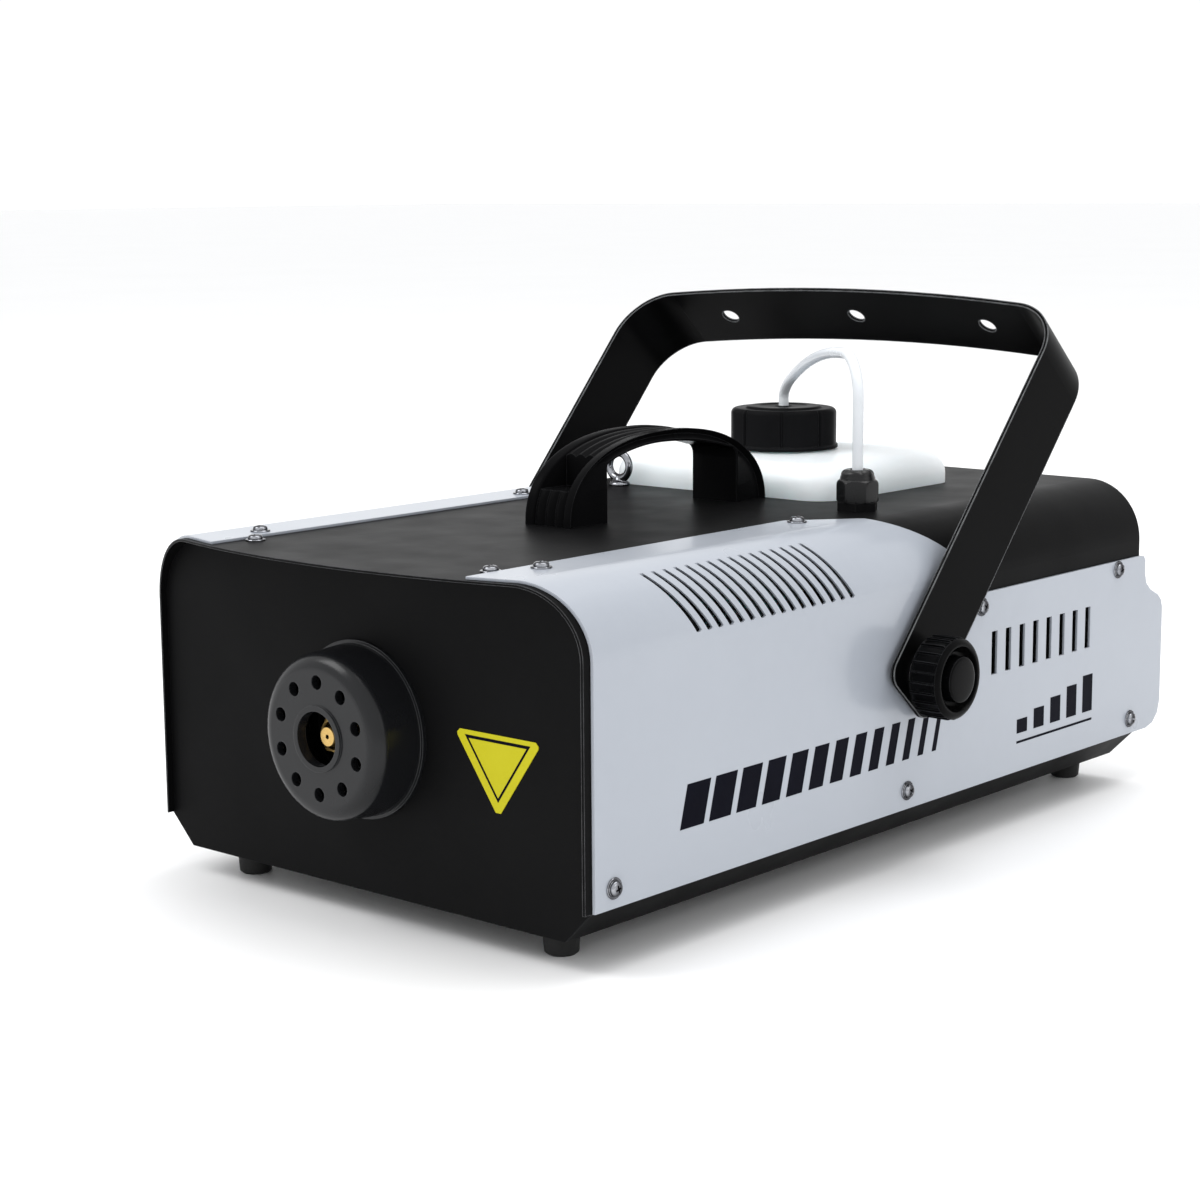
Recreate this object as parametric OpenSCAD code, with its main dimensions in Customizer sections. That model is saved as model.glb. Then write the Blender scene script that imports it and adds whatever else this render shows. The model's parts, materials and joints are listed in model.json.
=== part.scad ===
// Fog machine: a black sheet-metal case with white side panels, tilting yoke,
// heater, pump and fluid tank. Millimetres, +Z up, nozzle towards -Y.

/* [Case] */
// Width over the two side panels
body_w = 260; // [200:1:320]
// Length from the front plate to the rear plate
body_l = 430; // [380:1:500]
// Height of the case without its feet
body_h = 146; // [120:1:180]
// Radius of the top corners
shoulder_r = 31; // [15:0.5:45]
// Size of the 45 degree bottom corners
chamfer = 14; // [6:0.5:20]
// Sheet thickness of the cover and panels
sheet = 1.2; // [0.8:0.1:2]
// Thickness of the tray and the end plates
plate_t = 1.5; // [1:0.1:2.5]
// How far the cover's front edge curves out past the front plate
visor = 24.5; // [10:0.5:35]
// How far the cover's side edges stand ahead of the front plate
side_lip = 2.8; // [0:0.1:5]
// How far the side panels run past the rear plate
wing = 24; // [10:0.5:35]
// Height of the feet
foot_h = 13; // [8:0.5:20]

/* [Yoke] */
// Width of the flat strip
strap_w = 40; // [25:1:50]
// Thickness of the flat strip
strap_t = 2; // [2:0.5:5]
// Lean of the arms back from upright
yoke_tilt = 42; // [0:1:60]
// Pivot axis, from the front plate
pivot_y = 221; // [180:1:260]
// Pivot axis, above the case bottom
pivot_z = 77.5; // [60:0.5:100]
// Pivot to the top of the bar
yoke_reach = 206.5; // [180:0.5:240]
// Bow of the bar
bar_bow = 9; // [3:0.5:20]
// Radius of the three holes in the bar
bar_hole_r = 4.7; // [3:0.1:6]
// Outer radius of the clamping knobs
knob_r = 19; // [14:0.5:25]

/* [Tank] */
// Middle of the tank across the case
tank_x = -20.5; // [-30:0.5:10]
// Middle of the tank, from the front plate
tank_y = 321; // [300:0.5:330]
// Tank size across the case
tank_w = 139; // [100:1:140]
// Tank size along the case
tank_l = 114; // [80:1:120]
// Height of the tank top above the case bottom
tank_top = 162.2; // [150:0.1:175]
// Outer radius of the filler cap
cap_r = 28.1; // [22:0.1:32]

/* [Handle and gland] */
// Length of the carry handle
grip_l = 144; // [120:1:180]
// Height of the carry handle
grip_h = 39.5; // [30:0.1:55]
// Width of the carry handle
grip_w = 28; // [20:1:35]
// Front of the carry handle, from the front plate
grip_y = 118; // [100:1:140]
// Tube gland position across the case
gland_x = 77; // [60:1:90]
// Tube gland position, from the front plate
gland_y = 251.5; // [240:0.5:270]

/* [Hidden] */
$fn = 64;
e = 0.05;                              // overrun of cutting tools
half = body_w/2;
cw = half - sheet;                     // cover outside, half width
ch = body_h - sheet;                   // cover outside, top
iw = cw - sheet;                       // cover inside, half width
ih = ch - sheet;                       // cover inside, top
axis_z = 71;                     // nozzle axis
function visor_r(lip) = (half*half + pow(visor - lip, 2))/(2*(visor - lip));
panel_x = 77.2;                        // panels' inner edge on the top
arm_in = half + 3;                     // inside face of the yoke arms
strap_mid = arm_in + strap_t/2;
run = 0.08;                            // radial clearance of turning fits
foot_x = 95; foot_y = [20, 418];
side_screws = [[12.7, 22.4], [218.2, 22.7], [422.4, 21.9], [406.6, 102.3], [278.8, 100.2]];
top_screws = [[85.5, 20.6], [85.5, 192.4]];
lip_screws = [[71.6, 5.6]];
slot_n = 16; slot_p = 7.15; slot_w = [3, 1.6]; slot_lean = 35.4;
rear_slot_n = 8; rear_slot_p = 12.4; rear_slot_w = 5;
heater_w = 64; heater_h = 46; heater_y = [25, 185];
pump_x = gland_x; pump_y = gland_y - 36;
port_z = 45;                           // centre line of the rear sockets
inlet_x = -72; switch_x = -24; fuse_x = 14; remote_x = 50;
guard_d = 25.3; guard_r = 38.6; guard_lip = 1;
nose = max(visor, guard_d + guard_lip);    // furthest point ahead of the front plate
y0 = (nose - body_l - wing)/2;         // front plate in the row frame
eye_x = -76.7; eye_y = 256.8;
tube_r = 2.6; tube_in = 1.7;
cap_z = 162.8; cap_h = 20.7;
guard_pcr = 34.4;                      // guard screws from the nozzle axis
grip_screw_y = [grip_y + 13, grip_y + grip_l - 11.3];

module place() { translate([0, y0, foot_h]) children(); }
module along(a, b) { translate([0, b, 0]) rotate([90, 0, 0]) linear_extrude(b - a) children(); }
module sides() { for (s = [0, 1]) mirror([s, 0, 0]) children(); }
module y_rod(r, a, b) { translate([0, a, 0]) rotate([-90, 0, 0]) cylinder(r = r, h = b - a); }
module x_rod(r, a, b) { translate([a, 0, 0]) rotate([0, 90, 0]) cylinder(r = r, h = b - a); }
module box(a, b) { translate(a) cube(b - a); }

// Case outline across X and Z
module outline(w, h, r, c) {
    polygon([[-(w - c), 0], [w - c, 0], [w, c], [w, h - r], [-w, h - r], [-w, c]]);
    translate([-(w - r), h - r - 1]) square([2*(w - r), r + 1]);
    for (s = [-1, 1]) translate([s*(w - r), h - r]) circle(r, $fn = 96);
}
module hood(w, h, r, t, a, b) {
    difference() {
        along(a, b) outline(w, h, r, chamfer);
        along(a - 1, b + 1) outline(w - t, h - t, r - t, chamfer);
        box([-200, a - 1, -1], [200, b + 1, chamfer]);
    }
}
// The curve runs through the visor's middle and meets each side `lip` ahead of the plate
module visor_cut(lip, back) {
    translate([0, visor_r(lip) - visor + back, -1]) cylinder(r = visor_r(lip), h = 200, $fn = 400);
}

// Vent slots, shared by the panels and the cover
module shoulder_slots(grow) {
    for (i = [0 : slot_n - 1])
        intersection() {
            translate([half - 32, 58.8 + i*slot_p, 130.3]) rotate([slot_lean, 0, 0]) rotate([90, 0, 90])
                linear_extrude(40) polygon([[-slot_w[0]/2 - grow, -15], [slot_w[0]/2 + grow, -15],
                    [slot_w[1]/2 + grow, 19], [-slot_w[1]/2 - grow, 19]]);
            box([half - 17.2 - grow, 0, 118.2 - grow], [half + 5, 250, 160]);
        }
}
module flank_slots(grow) {
    for (i = [0 : rear_slot_n - 1])
        translate([half - 5, 290.5 + i*rear_slot_p - rear_slot_w/2 - grow, 65.9 - grow])
            cube([10, rear_slot_w + 2*grow, 21 + 2*grow]);
}
module side_bores(r) {
    for (p = side_screws) translate([0, p[0], p[1]]) x_rod(r, half - 12, half + 5);
}
module top_bores(pts, r) {
    for (p = pts) translate([p[0], p[1], body_h - 12]) cylinder(r = r, h = 20);
}

module base_tray() color([0.05, 0.05, 0.055]) place() {
    difference() {
        union() {
            difference() {
                along(plate_t, body_l - plate_t)
                    polygon([[-(cw - chamfer), 0], [cw - chamfer, 0], [cw, chamfer], [-cw, chamfer]]);
                along(0, body_l) polygon([[-(cw - chamfer) + 0.62, plate_t], [cw - chamfer - 0.62, plate_t],
                    [cw - 2.7, chamfer - 0.58], [cw - 2.7, chamfer + 1], [-cw + 2.7, chamfer + 1],
                    [-cw + 2.7, chamfer - 0.58]]);
            }
            sides() {
                box([iw - plate_t, plate_t, chamfer - 1], [iw, body_l - plate_t, 40]);
                box([iw - 16, body_l - 2*plate_t, chamfer], [iw, body_l - plate_t, 40]);
            }
        }
        sides() {
            side_bores(2.05);
            for (y = foot_y) translate([foot_x, y, -1]) cylinder(r = 2.1, h = 5);
            translate([119, 0, 27]) y_rod(2.05, body_l - 8, body_l);
        }
        for (i = [0 : 6]) translate([-21 + i*7 - 1.5, 60, -1]) cube([3, 90, 4]);
    }
}

module end_plate_2d() {
    polygon([[-(cw - chamfer), 0], [cw - chamfer, 0], [cw, chamfer], [-cw, chamfer]]);
    intersection() {
        outline(iw, ih, shoulder_r - 2*sheet, chamfer);
        translate([-200, chamfer]) square([400, 200]);
    }
}
module front_plate() color([0.05, 0.05, 0.055]) place() difference() {
    union() {
        along(0, plate_t) end_plate_2d();
        sides() box([62, 0, ih - plate_t], [82, 14, ih]);
    }
    translate([0, 0, axis_z]) {
        y_rod(27, -1, plate_t + 1);
        for (a = [0 : 2]) rotate([0, 90 + 120*a, 0]) translate([guard_pcr, 0, 0]) y_rod(1.6, -1, plate_t + 1);
    }
    sides() top_bores(lip_screws, 2.05);
}
module rear_plate() color([0.05, 0.05, 0.055]) place() translate([0, body_l, 0]) difference() {
    along(-plate_t, 0) end_plate_2d();
    box([inlet_x - 13.6, -3, port_z - 10.1], [inlet_x + 13.6, 3, port_z + 10.1]);
    box([switch_x - 11, -3, port_z - 14], [switch_x + 11, 3, port_z + 14]);
    translate([fuse_x, 0, port_z]) y_rod(6.2, -3, 3);
    translate([remote_x, 0, port_z]) y_rod(8, -3, 3);
    sides() translate([119, 0, 27]) y_rod(2.05, -3, 3);
    for (i = [0 : 11]) box([-80.5 + i*14, -3, 92], [-73.5 + i*14, 3, 124]);
}
module top_cover() color([0.05, 0.05, 0.055]) place() difference() {
    intersection() {
        hood(cw, ch, shoulder_r - sheet, sheet, -visor - 1, body_l);
        visor_cut(side_lip, 0);
    }
    translate([tank_x, tank_y, 120]) linear_extrude(40) rounded(tank_w + 2, tank_l + 2, 15);
    translate([gland_x, gland_y, 120]) cylinder(r = 7.65, h = 40);
    translate([eye_x, eye_y, 120]) cylinder(r = 3.05, h = 40);
    for (y = grip_screw_y, x = [-7, 7]) translate([x, y, 120]) cylinder(r = 2.05, h = 40);
    sides() {
        shoulder_slots(0.4);
        flank_slots(0.6);
        side_bores(2.05);
        top_bores(top_screws, 2.05);
        top_bores(lip_screws, 2.05);
        translate([0, pivot_y, pivot_z]) x_rod(6.05, half - 12, half + 5);
    }
}
module panel_right() color([0.86, 0.88, 0.92]) place() difference() {
    union() {
        difference() {
            intersection() {
                hood(half, body_h, shoulder_r, sheet, -visor - 1, body_l);
                visor_cut(0, 1.5);
            }
            box([-200, -60, -5], [panel_x, body_l + 5, 200]);
            difference() {
                box([0, 186.8, 106.7], [200, body_l + 5, 200]);
                translate([0, 186.8, 35]) x_rod(116.5, -1, 200);
            }
            translate([0, 0, body_h - 6]) linear_extrude(10)
                polygon([[panel_x - 5, 187], [140, 268.4], [panel_x - 5, 268.4]]);
        }
        translate([cw, 0, 0]) rotate([90, 0, 90]) linear_extrude(sheet)
            polygon([[body_l - 1, chamfer], [body_l + 10, chamfer], [body_l + 17, chamfer + 1.8],
                [body_l + 22, chamfer + 6.5], [body_l + wing, chamfer + 13], [body_l + wing, 76.6],
                [body_l + 22.6, 80.8], [body_l + 19, 84], [body_l + 11, 87.7], [body_l + 6.5, 91.6],
                [body_l + 4.7, 97], [body_l + 4.7, 104], [body_l + 3, 106.2], [body_l, 106.7],
                [body_l - 1, 106.7]]);
    }
    shoulder_slots(0);
    flank_slots(0);
    side_bores(2.05);
    top_bores(top_screws, 2.05);
    translate([0, pivot_y, pivot_z]) x_rod(6.05, half - 12, half + 5);
}
module panel_left() mirror([1, 0, 0]) panel_right();

module feet() color([0.04, 0.04, 0.04])
    sides() for (y = foot_y) translate([foot_x, y0 + y, 0]) difference() {
        union() {
            cylinder(r1 = 6.2, r2 = 7.3, h = 1);
            translate([0, 0, 1]) cylinder(r1 = 7.3, r2 = 8.3, h = foot_h - 1);
        }
        translate([0, 0, -1]) cylinder(r = 4.4, h = 8);
        translate([0, 0, -1]) cylinder(r = 2.1, h = 30);
    }
module foot_screws() color([0.72, 0.72, 0.72])
    sides() for (y = foot_y) translate([foot_x, y0 + y, 4.6]) {
        cylinder(r = 3.8, h = 2.4);
        cylinder(r = 2, h = 16);
    }
// Pan head screw with a flange, head towards +Z, seated at z = 0
module pan_screw(len) difference() {
    union() {
        translate([0, 0, -len]) cylinder(r = 2, h = len + 0.5);
        cylinder(r1 = 4.5, r2 = 4.2, h = 0.7);
        cylinder(r = 3.3, h = 1.5);
        translate([0, 0, 1.5]) cylinder(r1 = 3.3, r2 = 2.2, h = 0.9);
    }
    for (a = [0, 90]) rotate(a) translate([-1.9, -0.45, 1]) cube([3.8, 0.9, 3]);
}
module case_screws() color([0.78, 0.78, 0.8]) place() {
    sides() {
        for (p = side_screws) translate([half, p[0], p[1]]) rotate([0, 90, 0]) pan_screw(8);
        for (p = top_screws) translate([p[0], p[1], body_h]) pan_screw(8);
        for (p = lip_screws) translate([p[0], p[1], ch]) pan_screw(8);
        translate([119, body_l, 27]) rotate([-90, 0, 0]) pan_screw(8);
        for (y = grip_screw_y) translate([7, y, ih]) rotate([180, 0, 0]) pan_screw(8);
    }
}
module ring_nut(r_in, r_out, h) difference() {
    cylinder(r = r_out, h = h);
    translate([0, 0, -1]) cylinder(r = r_in, h = h + 2);
}
module case_nuts() color([0.7, 0.7, 0.7]) place() sides() {
    for (p = side_screws) translate([p[1] < 40 ? iw - plate_t : iw, p[0], p[1]]) rotate([0, -90, 0])
        ring_nut(2, 3.8, 3);
    for (p = top_screws) translate([p[0], p[1], ih - 3]) ring_nut(2, 3.8, 3);
    for (p = lip_screws) translate([p[0], p[1], ih - plate_t - 3]) ring_nut(2, 3.8, 3);
    translate([119, body_l - 2*plate_t, 27]) rotate([90, 0, 0]) ring_nut(2, 3.8, 3);
    for (y = foot_y) translate([foot_x, y, plate_t]) ring_nut(2, 3.8, 3);
}

module nozzle_guard() color([0.045, 0.045, 0.045]) place() translate([0, 0, axis_z]) rotate([90, 0, 0])
    difference() {
        union() {
            cylinder(r = guard_r, h = 2);
            cylinder(r1 = 37.4, r2 = 36, h = guard_d - 7);
            translate([0, 0, guard_d - 7]) rotate_extrude($fn = 96) {
                square([29, 7]);
                intersection() { translate([29, 0]) circle(7, $fn = 48); square([40, 7]); }
            }
            translate([0, 0, guard_d - 1]) cylinder(r = 14.2, h = 1 + guard_lip);
        }
        translate([0, 0, -1]) cylinder(r = 32, h = 3.6 - 1);
        translate([0, 0, -1]) cylinder(r1 = 31.4, r2 = 30.3, h = guard_d - 4 + 1);
        translate([0, 0, -1]) cylinder(r = 11.8, h = 60);
        for (a = [0 : 9]) rotate(18 + 36*a) translate([24, 0, 0]) cylinder(r = 3.1, h = 60);
        for (a = [0 : 2]) rotate(-90 - 120*a) translate([guard_pcr, 0, -1]) cylinder(r = 1.5, h = 7);
    }
module guard_screws() color([0.72, 0.72, 0.72]) place() translate([0, 0, axis_z])
    for (a = [0 : 2]) rotate([0, 90 + 120*a, 0]) translate([guard_pcr, 0, 0]) {
        y_rod(1.5, -5, plate_t);
        y_rod(2.8, plate_t, plate_t + 2);
    }
module nozzle() color([0.75, 0.6, 0.3]) place() translate([0, 0, axis_z]) difference() {
    union() {
        y_rod(5, -9, heater_y[0] + 10);
        translate([0, -17, 0]) rotate([-90, 0, 0]) cylinder(r = 8, h = 10, $fn = 6);
        translate([0, -20, 0]) rotate([-90, 0, 0]) cylinder(r1 = 4, r2 = 6.2, h = 3);
    }
    y_rod(1, -30, 60);
}
module heater_block() color([0.75, 0.76, 0.77]) place() difference() {
    box([-heater_w/2, heater_y[0], axis_z - heater_h/2], [heater_w/2, heater_y[1], axis_z + heater_h/2]);
    translate([0, 0, axis_z]) {
        y_rod(5, 0, heater_y[0] + 10);
        y_rod(3, 20, heater_y[1] - 14);
    }
    for (s = [-1, 1]) translate([20*s, 0, axis_z]) y_rod(6.05, 40, 200);
    translate([0, 165, axis_z]) cylinder(r = 2.5, h = 60);
}
module heating_elements() color([0.6, 0.6, 0.62]) place()
    for (s = [-1, 1]) translate([20*s, 0, axis_z]) {
        y_rod(6.05, 40, heater_y[1] + 6);
        y_rod(3.5, heater_y[1] + 6, heater_y[1] + 10);
    }
module heat_blanket() color([0.85, 0.82, 0.74]) place() difference() {
    box([-heater_w/2 - 8, 45, axis_z - heater_h/2 - 8], [heater_w/2 + 8, 150, axis_z + heater_h/2 + 8]);
    box([-heater_w/2, 40, axis_z - heater_h/2], [heater_w/2, 155, axis_z + heater_h/2]);
}
module heater_brackets() color([0.7, 0.71, 0.72]) place() for (y = [33, 175]) difference() {
    union() {
        box([-44, y, plate_t], [44, y + 2, axis_z + heater_h/2 + 10]);
        box([-44, y, plate_t], [44, y + 16, plate_t + 2]);
    }
    box([-heater_w/2, y - 1, axis_z - heater_h/2], [heater_w/2, y + 3, axis_z + heater_h/2]);
}
module thermostats() color([0.75, 0.73, 0.7]) place() for (y = [158, 168])
    translate([y == 158 ? -20 : 20, 163, axis_z + heater_h/2]) {
        cylinder(r = 8, h = 5);
        cylinder(r = 6, h = 9);
        translate([-4, -1, 8]) cube([1.5, 2, 8]);
        translate([2.5, -1, 8]) cube([1.5, 2, 8]);
    }
module thermal_fuse() color([0.85, 0.85, 0.82]) place() translate([-6, 153.5, axis_z + heater_h/2 + 2])
    rotate([0, 90, 0]) translate([0, 0, -6]) {
        cylinder(r = 2, h = 24);
        translate([-0.7, 0, -4]) cylinder(r = 0.6, h = 32);
    }
module heater_inlet() translate([0, 165, axis_z + heater_h/2]) difference() {
    union() {
        cylinder(r = 6.5, h = 6, $fn = 6);
        cylinder(r = 3.6, h = 12);
        translate([0, 0, -6]) cylinder(r = 2.5, h = 7);
    }
    translate([0, 0, 5]) cylinder(r = 2.5, h = 10);
    translate([0, 0, -10]) cylinder(r = 1, h = 30);
}

module pump_body() color([0.72, 0.73, 0.74]) place() translate([pump_x, pump_y, 0]) difference() {
    union() {
        translate([0, 0, 38]) cylinder(r = 10, h = 6);
        translate([0, 0, 44]) cylinder(r = 8, h = 54);
        translate([0, 0, 98]) cylinder(r = 10, h = 6);
    }
    translate([0, 0, 46]) cylinder(r = 5 + run, h = 50);
    translate([0, 0, 36]) cylinder(r = 2.5, h = 70);
}
module pump_plunger() color([0.6, 0.6, 0.62]) place() translate([pump_x, pump_y, 50]) difference() {
    cylinder(r = 5, h = 28);
    translate([0, 0, -1]) cylinder(r = 1.2, h = 40);
}
// Wound from tilted half turns, each rising half a pitch
spring_r = 3.8; spring_n = 5; spring_h = 15.6;
module pump_spring() color([0.8, 0.8, 0.8]) place() translate([pump_x, pump_y, 79.2]) {
    step = spring_h/(2*spring_n);
    lean = atan(step/(2*spring_r));
    for (i = [0 : 2*spring_n - 1]) translate([0, 0, (i + 0.5)*step]) rotate(180*i)
        rotate([0, lean, 0]) rotate_extrude(angle = 180, $fn = 48)
            translate([spring_r/cos(lean), 0]) circle(0.6, $fn = 16);
}
module pump_coil() color([0.1, 0.1, 0.35]) place() translate([pump_x, pump_y, 0]) difference() {
    union() {
        box([-21, -17, 48], [21, 17, 52]);
        box([-21, -17, 90], [21, 17, 94]);
        translate([0, 0, 52]) cylinder(r = 16, h = 38);
    }
    translate([0, 0, 40]) cylinder(r = 8, h = 60);
}
module pump_inlet() translate([pump_x, pump_y, 0]) difference() {
    union() {
        translate([0, 0, 30]) cylinder(r = 7, h = 8, $fn = 6);
        translate([0, 0, 24]) cylinder(r = 4.4, h = 7);
        translate([0, 0, 37]) cylinder(r = 2.5, h = 5);
    }
    translate([0, 0, 20]) cylinder(r = tube_r, h = 12);
    translate([0, 0, 20]) cylinder(r = 1.4, h = 40);
}
module pump_outlet() translate([pump_x, pump_y, 0]) difference() {
    union() {
        translate([0, 0, 104]) cylinder(r = 7, h = 7, $fn = 6);
        translate([0, 0, 110]) cylinder(r = 4, h = 6);
        translate([0, 0, 99]) cylinder(r = 2.5, h = 6);
    }
    translate([0, 0, 109]) cylinder(r = 2.5, h = 12);
    translate([0, 0, 90]) cylinder(r = 1.2, h = 40);
}
module tube_fittings() color([0.78, 0.62, 0.3]) place() { heater_inlet(); pump_inlet(); pump_outlet(); }
module pump_bracket() color([0.7, 0.71, 0.72]) place() difference() {
    union() {
        box([pump_x - 24, pump_y - 19, plate_t], [pump_x + 24, pump_y + 12, plate_t + 2]);
        box([pump_x - 24, pump_y - 19, plate_t], [pump_x + 24, pump_y - 17, 96]);
        box([pump_x - 24, pump_y - 19, 94], [pump_x + 24, pump_y + 12, 96]);
    }
    translate([pump_x, pump_y, 90]) cylinder(r = 8, h = 10);
    translate([pump_x, pump_y, -1]) cylinder(r = 10, h = 10);
}

// Quarter or part bends of tube, in the local X-Z plane, from angle a to b
module bend(rad, r, r_in, a, b) rotate([90, 0, 0]) rotate(a) rotate_extrude(angle = b - a, $fn = 64)
    translate([rad, 0]) difference() { circle(r, $fn = 32); if (r_in > 0) circle(r_in, $fn = 32); }
module pipe(r, r_in, h) difference() {
    cylinder(r = r, h = h, $fn = 32);
    translate([0, 0, -1]) cylinder(r = r_in, h = h + 2, $fn = 32);
}
feed_dx = 0 - pump_x; feed_dy = 165 - pump_y;
feed_len = sqrt(feed_dx*feed_dx + feed_dy*feed_dy);
module feed_tube() color([0.85, 0.87, 0.88]) place()
    translate([pump_x, pump_y, 0]) rotate(atan2(feed_dy, feed_dx)) {
        translate([0, 0, 110]) pipe(2.5, 1.5, 8);
        translate([15, 0, 118]) bend(15, 2.5, 1.5, 90, 180);
        translate([15, 0, 133]) rotate([0, 90, 0]) pipe(2.5, 1.5, feed_len - 30);
        translate([feed_len - 15, 0, 118]) bend(15, 2.5, 1.5, 0, 90);
        translate([feed_len, 0, axis_z + heater_h/2 + 6]) pipe(2.5, 1.5, 118 - axis_z - heater_h/2 - 6);
    }
cap_dx = tank_x + 0.5; cap_y = tank_y + 1; tube_dy = gland_y - cap_y;
tube_ang = atan2(tube_dy, gland_x - cap_dx);
tube_s = sqrt(pow(gland_x - cap_dx, 2) + tube_dy*tube_dy);
rise_r = 6.5; rise_a = 50; mid_r = 42; mid_a = 66; end_r = 20;  // bends from the cap to the gland
rise_z = 187.8;
mid_s = rise_r*(1 - cos(rise_a)); mid_z = rise_z + rise_r*sin(rise_a);
span_s = mid_s + mid_r*(cos(rise_a) - cos(mid_a)); span_z = mid_z + mid_r*(sin(mid_a) - sin(rise_a));
span_r = (tube_s - end_r - span_s)/cos(mid_a);
top_z = span_z + span_r*(1 - sin(mid_a));

// A section is [centre, direction, sideways]; a hose is one closed skin over its sections
function side_on(a) = [-sin(a), cos(a), 0];
function arch(s, z, phi) = [[cap_dx + s*cos(tube_ang), cap_y + s*sin(tube_ang), z],
    [sin(phi)*cos(tube_ang), sin(phi)*sin(tube_ang), cos(phi)], side_on(tube_ang)];
function arch_bend(s, z, r, a, b, n) = [for (i = [1 : n]) let (p = a + (b - a)*i/n)
    arch(s - r*cos(p), z + r*sin(p), p)];
hose_path = concat(
    [arch(0, 12, 0), arch(0, rise_z, 0)],
    arch_bend(rise_r, rise_z, rise_r, 0, rise_a, 8),
    arch_bend(mid_s + mid_r*cos(rise_a), mid_z - mid_r*sin(rise_a), mid_r, rise_a, mid_a, 3),
    arch_bend(tube_s - end_r, top_z - span_r, span_r, mid_a, 90, 7),
    arch_bend(tube_s - end_r, top_z - end_r, end_r, 90, 180, 12),
    [for (i = [1 : 8]) [[gland_x, gland_y, top_z - end_r - (top_z - end_r - 24)*i/8], [0, 0, -1],
        side_on(tube_ang + (-90 - tube_ang)*i/8)]],
    [for (i = [1 : 14]) let (p = 180*i/14) [[gland_x, gland_y - 18 + 18*cos(p), 24 - 18*sin(p)],
        [0, -sin(p), -cos(p)], [1, 0, 0]]],
    [[[pump_x, pump_y, 32], [0, 0, 1], [1, 0, 0]]]);
module hose(path, r, r_in, n) {
    k = len(path);
    function ring(q) = [for (c = path, j = [0 : n - 1]) c[0]
        + q*(cos(360*j/n)*c[2] + sin(360*j/n)*cross(c[1], c[2]))];
    function at(i, j) = i*n + j % n;
    m = k*n;
    polyhedron(points = concat(ring(r), ring(r_in)), convexity = 8, faces = concat(
        [for (i = [0 : k - 2], j = [0 : n - 1]) [at(i, j), at(i + 1, j), at(i + 1, j + 1)]],
        [for (i = [0 : k - 2], j = [0 : n - 1]) [at(i, j), at(i + 1, j + 1), at(i, j + 1)]],
        [for (i = [0 : k - 2], j = [0 : n - 1]) [m + at(i, j), m + at(i + 1, j + 1), m + at(i + 1, j)]],
        [for (i = [0 : k - 2], j = [0 : n - 1]) [m + at(i, j), m + at(i, j + 1), m + at(i + 1, j + 1)]],
        [for (j = [0 : n - 1]) [at(0, j), at(0, j + 1), m + at(0, j + 1)]],
        [for (j = [0 : n - 1]) [at(0, j), m + at(0, j + 1), m + at(0, j)]],
        [for (j = [0 : n - 1]) [at(k - 1, j), m + at(k - 1, j), m + at(k - 1, j + 1)]],
        [for (j = [0 : n - 1]) [at(k - 1, j), m + at(k - 1, j + 1), at(k - 1, j + 1)]]));
}
module pickup_tube() color([0.88, 0.9, 0.92]) place() hose(hose_path, tube_r, tube_in, 16);
module tank_filter() color([0.5, 0.5, 0.52]) place() translate([cap_dx, cap_y, 5]) difference() {
    union() { cylinder(r = 7, h = 12); cylinder(r = 4.6, h = 18); }
    translate([0, 0, 7]) cylinder(r = tube_r, h = 20);
    translate([0, 0, -1]) cylinder(r = 2, h = 20);
}

module rounded(w, l, r) {
    translate([-w/2 + r, -l/2]) square([w - 2*r, l]);
    translate([-w/2, -l/2 + r]) square([w, l - 2*r]);
    for (x = [-1, 1], y = [-1, 1]) translate([x*(w/2 - r), y*(l/2 - r)]) circle(r, $fn = 48);
}
module tank_form(w, l, z1, z2, r, er) intersection() {
    translate([0, 0, z1]) linear_extrude(z2 - z1) rounded(w, l, r);
    translate([0, l/2 + 1, (z1 + z2)/2]) rotate([90, 0, 0]) linear_extrude(l + 2) rounded(w, z2 - z1, er);
    translate([-w/2 - 1, 0, (z1 + z2)/2]) rotate([90, 0, 90]) linear_extrude(w + 2) rounded(l, z2 - z1, er);
}
module tank() color([0.86, 0.9, 0.94, 0.8]) place() translate([tank_x, tank_y, 0]) difference() {
    union() {
        tank_form(tank_w, tank_l, plate_t, tank_top, 14, 12);
        translate([0.5, 1, tank_top - 2]) cylinder(r = 22, h = 18);
    }
    tank_form(tank_w - 4, tank_l - 4, plate_t + 2, tank_top - 2, 12, 10);
    translate([0.5, 1, tank_top - 5]) cylinder(r = 19.8, h = 30);
}
module tank_cap() color([0.035, 0.035, 0.035]) place() translate([cap_dx, cap_y, cap_z]) difference() {
    union() {
        cylinder(r = cap_r, h = 2);
        translate([0, 0, 2]) cylinder(r = cap_r - 0.7, h = cap_h - 4.2);
        translate([0, 0, cap_h - 2.2]) cylinder(r1 = cap_r - 0.7, r2 = cap_r - 2.4, h = 2.2);
        cylinder(r = 19.5, h = cap_h + 0.9);
    }
    translate([0, 0, -1]) cylinder(r = 22 + run, h = cap_h - 2.2);
    translate([0, 0, -1]) cylinder(r = tube_r + run, h = 40);
    for (a = [0 : 7]) rotate(-55 + 45*a) translate([cap_r, 0, 2.6]) cylinder(r = 1.2, h = 20);
}
module cap_liner() color([0.6, 0.6, 0.6]) place()
    translate([cap_dx, cap_y, tank_top + 16]) difference() {
    cylinder(r = 22, h = cap_z + cap_h - 3.2 - tank_top - 16);
    translate([0, 0, -1]) cylinder(r = tube_r + run, h = 10);
}

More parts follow.
